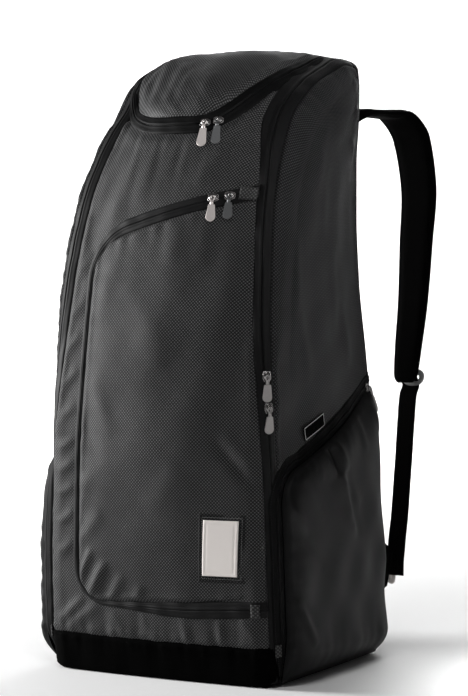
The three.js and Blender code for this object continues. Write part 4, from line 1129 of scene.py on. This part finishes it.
def patch_backing():
    # A dark cloth under the patch, stitched round its edge.
    x = PATCH.x + BACKING.shift
    width = PATCH.width + BACKING.wider
    height = PATCH.height + BACKING.taller

    def on_cloth(x, t):
        x = x + (t - PATCH.t) / height * PATCH.shear
        return front_point(x, t, pocket_lift(x, t, PATCH_CREASE) + BACKING.thick + BACKING.lift)

    patch_piece("patch_backing", x, width, height, BACKING, BACKING.stitch, GRID.backing, PRESSED)
    bm = bmesh.new()
    border = rectangle_line(x, PATCH.t, width - 2 * BACKING.stitch, height - 2 * BACKING.stitch, on_cloth)
    add_stitches(bm, border, PATCH_STITCH)
    finish_piece("patch_stitches", bm, [GREY_THREAD])


def side_label():
    def place(u, v):
        edge = rim_distance(u, v, LABEL.far - LABEL.near, LABEL.rise)
        a = mix(LABEL.near, LABEL.far, u) + LABEL.shear * (0.5 - v)
        t = LABEL.foot + LABEL.slant * u + LABEL.rise * v
        out = LABEL.lift + LABEL.thick * rounded(edge, LABEL.bevel)
        return measured(cloth_point(1, a, t, out), a, t)

    bm = new_cloth()
    add_sheet(bm, GRID.label, place)
    columns, rows = GRID.label
    for i, face in enumerate(bm.faces):
        row, column = divmod(i, columns)
        ring = min(column, row, columns - 1 - column, rows - 1 - row)
        face.material_index = 1 if ring == LABEL.border else 0
    finish_piece("side_label_cloth", bm, [BLACK, OUTLINE], ["side_label"], thick=LABEL.wall)


def zip_tab(name, place_on, tab, replaced):
    def place(u, v):
        edge = rim_distance(u, v, tab.width, tab.length)
        x = tab.x + (u - 0.5) * tab.width
        t = tab.t + (v - 0.5) * tab.length
        hem = ZIP_TAB.hem * bell(edge - ZIP_TAB.hem_at, ZIP_TAB.hem_width)
        out = ZIP_TAB.lift + ZIP_TAB.thick * rounded(edge, ZIP_TAB.bevel) + hem
        return measured(place_on(x, t, out), x, t)

    sew(name, GRID.tab, place, TAB_WEAVE, [replaced], thick=ZIP_TAB.wall,
        flip=name.startswith("left"))


def corner_tab(side, name):
    def place_on(a, t, out):
        return cloth_point(side, a, t, out)

    zip_tab(name + "_zip_end", place_on, CORNER_TAB, name + "_zip_tab")


# Zip pulls and sliders, made in millimetres at the origin and then set in their place.

def set_of_axes(origin, right, up, out):
    return Matrix.Translation(origin) @ Matrix((right, up, out)).transposed().to_4x4() @ Matrix.Scale(MM, 4)


def cloth_axes(side, a, t, lift):
    # Axes at a slider: across, as near to upright as the cloth allows, and out of the cloth.
    def at(da, dt, out):
        if side == 0:
            return Vector(front_point(np.array([a + da]), np.array([t + dt]), np.array([out]))[0])
        return Vector(cloth_point(side, np.array([a + da]), np.array([t + dt]), np.array([out]))[0])

    out = (at(1, 0, 0) - at(-1, 0, 0)).cross(at(0, 1, 0) - at(0, -1, 0)).normalized()
    if out.dot(at(0, 0, 1) - at(0, 0, 0)) < 0:
        out = -out
    up = (Vector((0, 0, 1)) - out * out.z).normalized()
    return set_of_axes((at(0, 0, 0) + out * lift) * MM, up.cross(out), up, out)


def add_plate(bm, outline, low, high, bevel):
    # A flat plate from a few corners, with rounded edges.
    verts = [bm.verts.new((x, y, low)) for x, y in outline]
    face = bm.faces.new(verts)
    risen = bmesh.ops.extrude_face_region(bm, geom=[face])["geom"]
    top = [part for part in risen if isinstance(part, bmesh.types.BMVert)]
    bmesh.ops.translate(bm, vec=(0, 0, high - low), verts=top)
    plate = set(verts) | set(top)
    edges = [edge for edge in bm.edges if set(edge.verts) <= plate]
    bmesh.ops.bevel(bm, geom=edges, offset=bevel, offset_type="OFFSET", segments=PLATE_ROUNDING, profile=0.5,
                    affect="EDGES", material=-1)


def add_wire_loop(bm, middle, radius, wire, axis, turn, steps):
    # A ring of round wire about an axis square to y, or a part of one.
    facing = axis.cross((0, 1, 0)).to_track_quat("Z", "Y").to_matrix().to_4x4()
    start = Matrix.Translation(Vector(middle) + Vector((0, radius, 0))) @ facing
    circle = bmesh.ops.create_circle(bm, segments=WIRE_SIDES, radius=wire, matrix=start)["verts"]
    edges = list(dict.fromkeys(edge for vert in circle for edge in vert.link_edges))
    bmesh.ops.spin(bm, geom=circle + edges, cent=middle, axis=axis, angle=turn, steps=steps,
                   use_merge=turn == 2 * math.pi)


def pull_finish(name):
    if name in DARK_PULLS:
        return DARK_METAL, "dark_metal"
    if name in BRIGHT_PULLS:
        return BRIGHT_METAL, "bright_metal"
    # The remaining pulls are bright metal, given the darker copy as painted shade.
    return SHADED_BRIGHT_METAL, "bright_metal"


def slider(name):
    # A domed slider on a foot plate that narrows to one end, and the bail that holds the pull.
    side, a, t, lift = PULL_PLACES[name]
    half = SLIDER.across / 2
    long = SLIDER.along / 2
    right_edge = [(half * x, long * y) for x, y in SLIDER_CORNERS]
    left_edge = [(-x, y) for x, y in reversed(right_edge)]
    bm = bmesh.new()
    add_plate(bm, left_edge[-1:] + right_edge + left_edge[:-1], SLIDER.foot, SLIDER.plate, SLIDER.bevel)
    dome = Matrix.Translation((0, DOME.shift, SLIDER.plate))
    dome = dome @ Matrix.Diagonal((DOME.across * half, DOME.along * long, DOME.rise, 1))
    bmesh.ops.create_uvsphere(bm, u_segments=DOME.columns, v_segments=DOME.rows, radius=1, matrix=dome)
    if side == 0:
        bmesh.ops.rotate(bm, verts=bm.verts, matrix=Matrix.Rotation(math.pi / 2, 3, "Z"))
    add_wire_loop(bm, (0, 0, SLIDER.thick - BAIL.sunk), BAIL.radius, BAIL.bar / 2, Vector((1, 0, 0)),
                  math.pi, BAIL.steps)
    close_tube(bm, bm.verts)
    bmesh.ops.transform(bm, matrix=cloth_axes(side, a, t, lift), verts=bm.verts)
    finish_piece(name + "_slider_metal", bm, [SLIDER_METAL], [name + "_slider"])


def pull_axes(name):
    # Axes at a pull's hinge, read from the frame: the bar along x, the tab hanging down along -y.
    joint = next(joint for joint in frame["joints"] if joint["name"] == name + "_swing")
    hinge = Vector(joint["pos_m"])
    low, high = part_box(name + "_pull")
    right = -Vector(joint["axis"]).normalized()
    up = hinge - (Vector(low) + Vector(high)) / 2
    up = (up - right * up.dot(right)).normalized()
    return set_of_axes(hinge, right, up, right.cross(up))


def tab_outline(length):
    # The tab widens from its shoulders to a round foot.
    half = PULL.width / 2
    shoulder = PULL.shoulder / 2
    foot = PULL.top - length + half
    arc = [(half * math.cos(i), foot - half * math.sin(i)) for i in np.linspace(0, math.pi, PULL.arc)]
    return [(-shoulder, -PULL.head), (shoulder, -PULL.head)] + arc


def pull(name):
    # A ring on the slider's bail, a narrow neck and a flat tab.
    length = PULL.hood_length if name.startswith("hood") else PULL.length
    bm = bmesh.new()
    add_plate(bm, tab_outline(length), -PULL.thick / 2, PULL.thick / 2, PULL.bevel)
    neck = Matrix.Translation((0, -PULL.head + PULL.neck_rise, 0))
    neck = neck @ Matrix.Diagonal((PULL.neck, PULL.neck_length, PULL.thick, 1))
    bmesh.ops.create_cube(bm, size=1, matrix=neck)
    add_wire_loop(bm, (0, -PULL.ring + PULL.wire, 0), PULL.ring, PULL.wire, Vector((0, 0, 1)), 2 * math.pi,
                  PULL.steps)
    bmesh.ops.recalc_face_normals(bm, faces=bm.faces)
    bmesh.ops.transform(bm, matrix=pull_axes(name), verts=bm.verts)
    material, slot = pull_finish(name)
    body = frame["nodes"][name + "_pull"]["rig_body"]
    finish_piece(name + "_pull_metal", bm, [material], [name + "_pull"], body=body)


# Shoulder straps.

def ribbon(rows):
    # Axes along a strap, for shares of its run: its row values, the way across, the way out and its length.
    keys = lengths_along(rows[:, :3])
    length = keys[-1]
    columns = [smooth_column(keys, rows[:, i]) for i in range(rows.shape[1])]

    def values_at(share):
        return np.stack([column(share * length) for column in columns], -1)

    def at(share):
        ahead = values_at(np.minimum(share + STRAP_STEP, 1))[:, :3]
        behind = values_at(np.maximum(share - STRAP_STEP, 0))[:, :3]
        tangent = (ahead - behind) / np.linalg.norm(ahead - behind, axis=-1, keepdims=True)
        across = np.array([1.0, 0, 0]) - tangent * tangent[:, :1]
        across = across / np.linalg.norm(across, axis=-1, keepdims=True)
        return values_at(share), across, np.cross(across, tangent), length

    return at


def mirrored(points, side):
    return points * np.array([side, 1, 1])


def strap_pad(side, name):
    run = ribbon(STRAP_ROWS)

    def place(u, v):
        v = np.sin(v * math.pi / 2)
        values, across, outward, length = run(v)
        angle = 2 * math.pi * u
        share = -np.cos(angle)
        last = np.clip(1 - (1 - v) * length / PAD_END.length, 0, 1)
        rounding = np.sqrt(1 - (PAD_END.closed * last) ** 2)
        half = values[:, 3] / 2 * mix(PAD_END.width, 1, rounding)
        height = np.interp(np.abs(share), PAD_SHARES, PAD_HEIGHTS) * values[:, 4] / 2
        height = height * np.sign(np.sin(angle)) * rounding
        height = np.where(np.abs(np.abs(share) - 1) < RIM_NEAR, 0, height)
        puff = 1 + PAD_PUFF.share * waves(v * length, 0 * v, PAD_PUFF.pitch, seed=81)
        points = values[:, :3] + across * (share * half)[:, None] + outward * (height * puff)[:, None]
        return measured(mirrored(points, side), share * half, v * length)

    bm = new_cloth()
    close_tube(bm, add_sheet(bm, GRID.strap_pad, place))
    pad = finish_piece(name + "_strap_padding", bm, [BLACK], [name + "_strap_pad"])


def strap_webbing(side, name):
    run = ribbon(WEBBING_ROWS)

    def place(u, v):
        values, across, _, length = run(v)
        share = (u - 0.5) * WEBBING.width
        return measured(mirrored(values + across * share[:, None], side), share, v * length)

    sew(name + "_strap_band", GRID.webbing, place, WEB, [name + "_strap_webbing"],
        thick=WEBBING.thick, offset=0, flip=side < 0)


def strap_tab(side, name):
    def place(u, v):
        low, high = STRAP_TAB.tip_low, STRAP_TAB.tip_high
        y = mix(BEHIND, mix(low[0], high[0], v), u)
        z = mix(mix(STRAP_TAB.foot, STRAP_TAB.head, v), mix(low[1], high[1], v), u)
        bulge = STRAP_TAB.bulge * np.sin(u * math.pi) * np.cos((v - 0.5) * math.pi)
        x = STRAP_TAB.x + bulge + STRAP_TAB.hem * bell(u - STRAP_TAB.hem_at, STRAP_TAB.hem_width)
        return measured(mirrored(np.stack([x, y, z], -1), side), y, z)

    sew(name + "_strap_anchor", GRID.strap_tab, place, BLACK, [name + "_strap_tab"],
        thick=STRAP_TAB.thick, offset=0, flip=side < 0)


def strap_loop(side, name, replaced, size, material):
    # A flat loop with round corners that a strap runs through.
    half_wide = (size.width - size.bar) / 2
    half_span = (size.span - size.bar) / 2
    wide = np.array([1.0, 0, 0])
    up = np.array([0, math.sin(size.lean), math.cos(size.lean)])
    deep = np.cross(wide, up)

    def place(u, v):
        way = 2 * math.pi * u
        around = 2 * math.pi * v
        x = half_wide * np.sign(np.cos(way)) * np.abs(np.cos(way)) ** size.corner
        y = half_span * np.sign(np.sin(way)) * np.abs(np.sin(way)) ** size.corner
        outward = np.stack([np.cos(way) * half_span, np.sin(way) * half_wide], -1)
        outward = outward / np.linalg.norm(outward, axis=-1, keepdims=True)
        x = x + outward[:, 0] * size.bar / 2 * np.cos(around)
        y = y + outward[:, 1] * size.bar / 2 * np.cos(around)
        z = size.thick / 2 * np.sin(around)
        points = np.array(size.middle) + x[:, None] * wide + y[:, None] * up + z[:, None] * deep
        return measured(mirrored(points, side), way * LOOP_MEASURE.round, around * LOOP_MEASURE.bar)

    bm = new_cloth()
    close_tube(bm, add_sheet(bm, GRID.loop, place))
    finish_piece(name, bm, [material], [replaced])


# The room: a pale floor that turns up behind the bag, and soft light mostly from the left.

def backdrop():
    # The backdrop is clear from behind, so that it doesn't hide the bag in views of its back.
    finish = Finish("pale_floor", FLOOR.roughness)
    finish.colours(finish.noise(FLOOR.scale, FLOOR.detail), FLOOR.dark, FLOOR.light)
    behind = finish.node("ShaderNodeNewGeometry").outputs["Backfacing"]
    finish.tree.links.new(finish.reckon("SUBTRACT", 1.0, behind), finish.shader.inputs["Alpha"])
    bm = bmesh.new()
    line = [bm.verts.new((-FLOOR_HALF, y, z)) for y, z in FLOOR_LINE]
    edges = [bm.edges.new(pair) for pair in zip(line, line[1:])]
    swept = bmesh.ops.extrude_edge_only(bm, edges=edges)["geom"]
    moved = [part for part in swept if isinstance(part, bmesh.types.BMVert)]
    bmesh.ops.translate(bm, vec=(2 * FLOOR_HALF, 0, 0), verts=moved)
    bmesh.ops.recalc_face_normals(bm, faces=bm.faces)
    bmesh.ops.reverse_faces(bm, faces=bm.faces)
    turn = Matrix.Rotation(math.radians(CAMERA.azimuth), 4, "Z")
    bmesh.ops.transform(bm, matrix=turn, verts=bm.verts)
    mesh = bpy.data.meshes.new("floor")
    bm.to_mesh(mesh)
    bm.free()
    for polygon in mesh.polygons:
        polygon.use_smooth = True
    mesh.materials.append(finish.material)
    floor = bpy.data.objects.new("floor", mesh)
    bpy.context.scene.collection.objects.link(floor)


def soft_light(name, place, target, size, power, spread=180):
    lamp = bpy.data.lights.new(name, "AREA")
    lamp.shape = "DISK"
    lamp.size = size
    lamp.energy = power
    lamp.spread = math.radians(spread)
    light = bpy.data.objects.new(name, lamp)
    light.location = place
    light.rotation_euler = (Vector(target) - Vector(place)).to_track_quat("-Z", "Y").to_euler()
    bpy.context.scene.collection.objects.link(light)


def sky():
    # A dim white sky that the camera sees as a bright one.
    world = bpy.data.worlds.new("studio")
    world.use_nodes = True
    nodes = world.node_tree.nodes
    links = world.node_tree.links
    background = nodes["Background"]
    background.inputs["Color"].default_value = (1, 1, 1, 1)
    strength = nodes.new("ShaderNodeMapRange")
    strength.inputs["To Min"].default_value = SKY.light
    strength.inputs["To Max"].default_value = SKY.seen
    rays = nodes.new("ShaderNodeLightPath")
    links.new(rays.outputs["Is Camera Ray"], strength.inputs["Value"])
    links.new(strength.outputs["Result"], background.inputs["Strength"])
    bpy.context.scene.world = world


def room():
    sky()
    bpy.context.scene.view_settings.view_transform = "Standard"
    backdrop()
    soft_light("window", (-3.4, -0.95, 1.0), (0, 0, 0.4), size=1.2, power=265)
    soft_light("wall_wash", (-1.3, 2.25, 2.6), (-2.3, 3.98, 1.0), size=2.0, power=105)
    soft_light("floor_wash", (0.9, -1.6, 2.6), (0.6, -0.6, 0), size=1.6, power=22)
    soft_light("side_fill", (2.3, -1.0, 1.1), (0.1, 0, 0.86), size=0.5, power=1.0, spread=22)
    soft_light("back_fill", (-0.9, 2.8, 1.1), (0, 0.2, 0.45), size=1.0, power=30)
    soft_light("floor_right", (0.72, 0.14, 2.2), (0.72, 0.14, 0), size=0.6, power=4.5, spread=16)


def camera():
    azimuth = math.radians(CAMERA.azimuth)
    lens = bpy.data.cameras.new("camera")
    lens.lens = CAMERA.lens
    lens.clip_end = CAMERA.far
    eye = bpy.data.objects.new("camera", lens)
    x = CAMERA.distance * math.sin(azimuth)
    y = -CAMERA.distance * math.cos(azimuth)
    eye.location = Vector((x, y, CAMERA.height)) * MM
    eye.rotation_euler = (math.radians(90 - CAMERA.pitch), 0, azimuth - math.radians(CAMERA.yaw))
    bpy.context.scene.collection.objects.link(eye)
    bpy.context.scene.camera = eye


def build():
    base()
    front_panel()
    hood()
    back_panel()
    front_pocket()
    main_zip()
    hood_zip()
    front_pocket_zip()
    zip_stitches()
    patch_backing()
    front_patch()
    side_label()
    for side, name in ((1, "right"), (-1, "left")):
        side_panel(side, name + "_side_panel")
        side_pocket(side, name + "_side_pocket")
        strap_pad(side, name)
        strap_webbing(side, name)
        strap_tab(side, name)
        side_pocket_zip(side, name + "_pocket_zip")
        corner_tab(side, name)
        strap_loop(side, name + "_strap_buckle", name + "_strap_adjuster", ADJUSTER, BUCKLE)
        strap_loop(side, name + "_strap_link", name + "_strap_ring", RING, PALE)
    zip_tab("upper_zip_end", front_point, UPPER_TAB, "upper_zip_tab")
    zip_tab("lower_zip_end", front_point, LOWER_TAB, "lower_zip_tab")
    for name in PULL_PLACES:
        slider(name)
        pull(name)


build()
room()
camera()
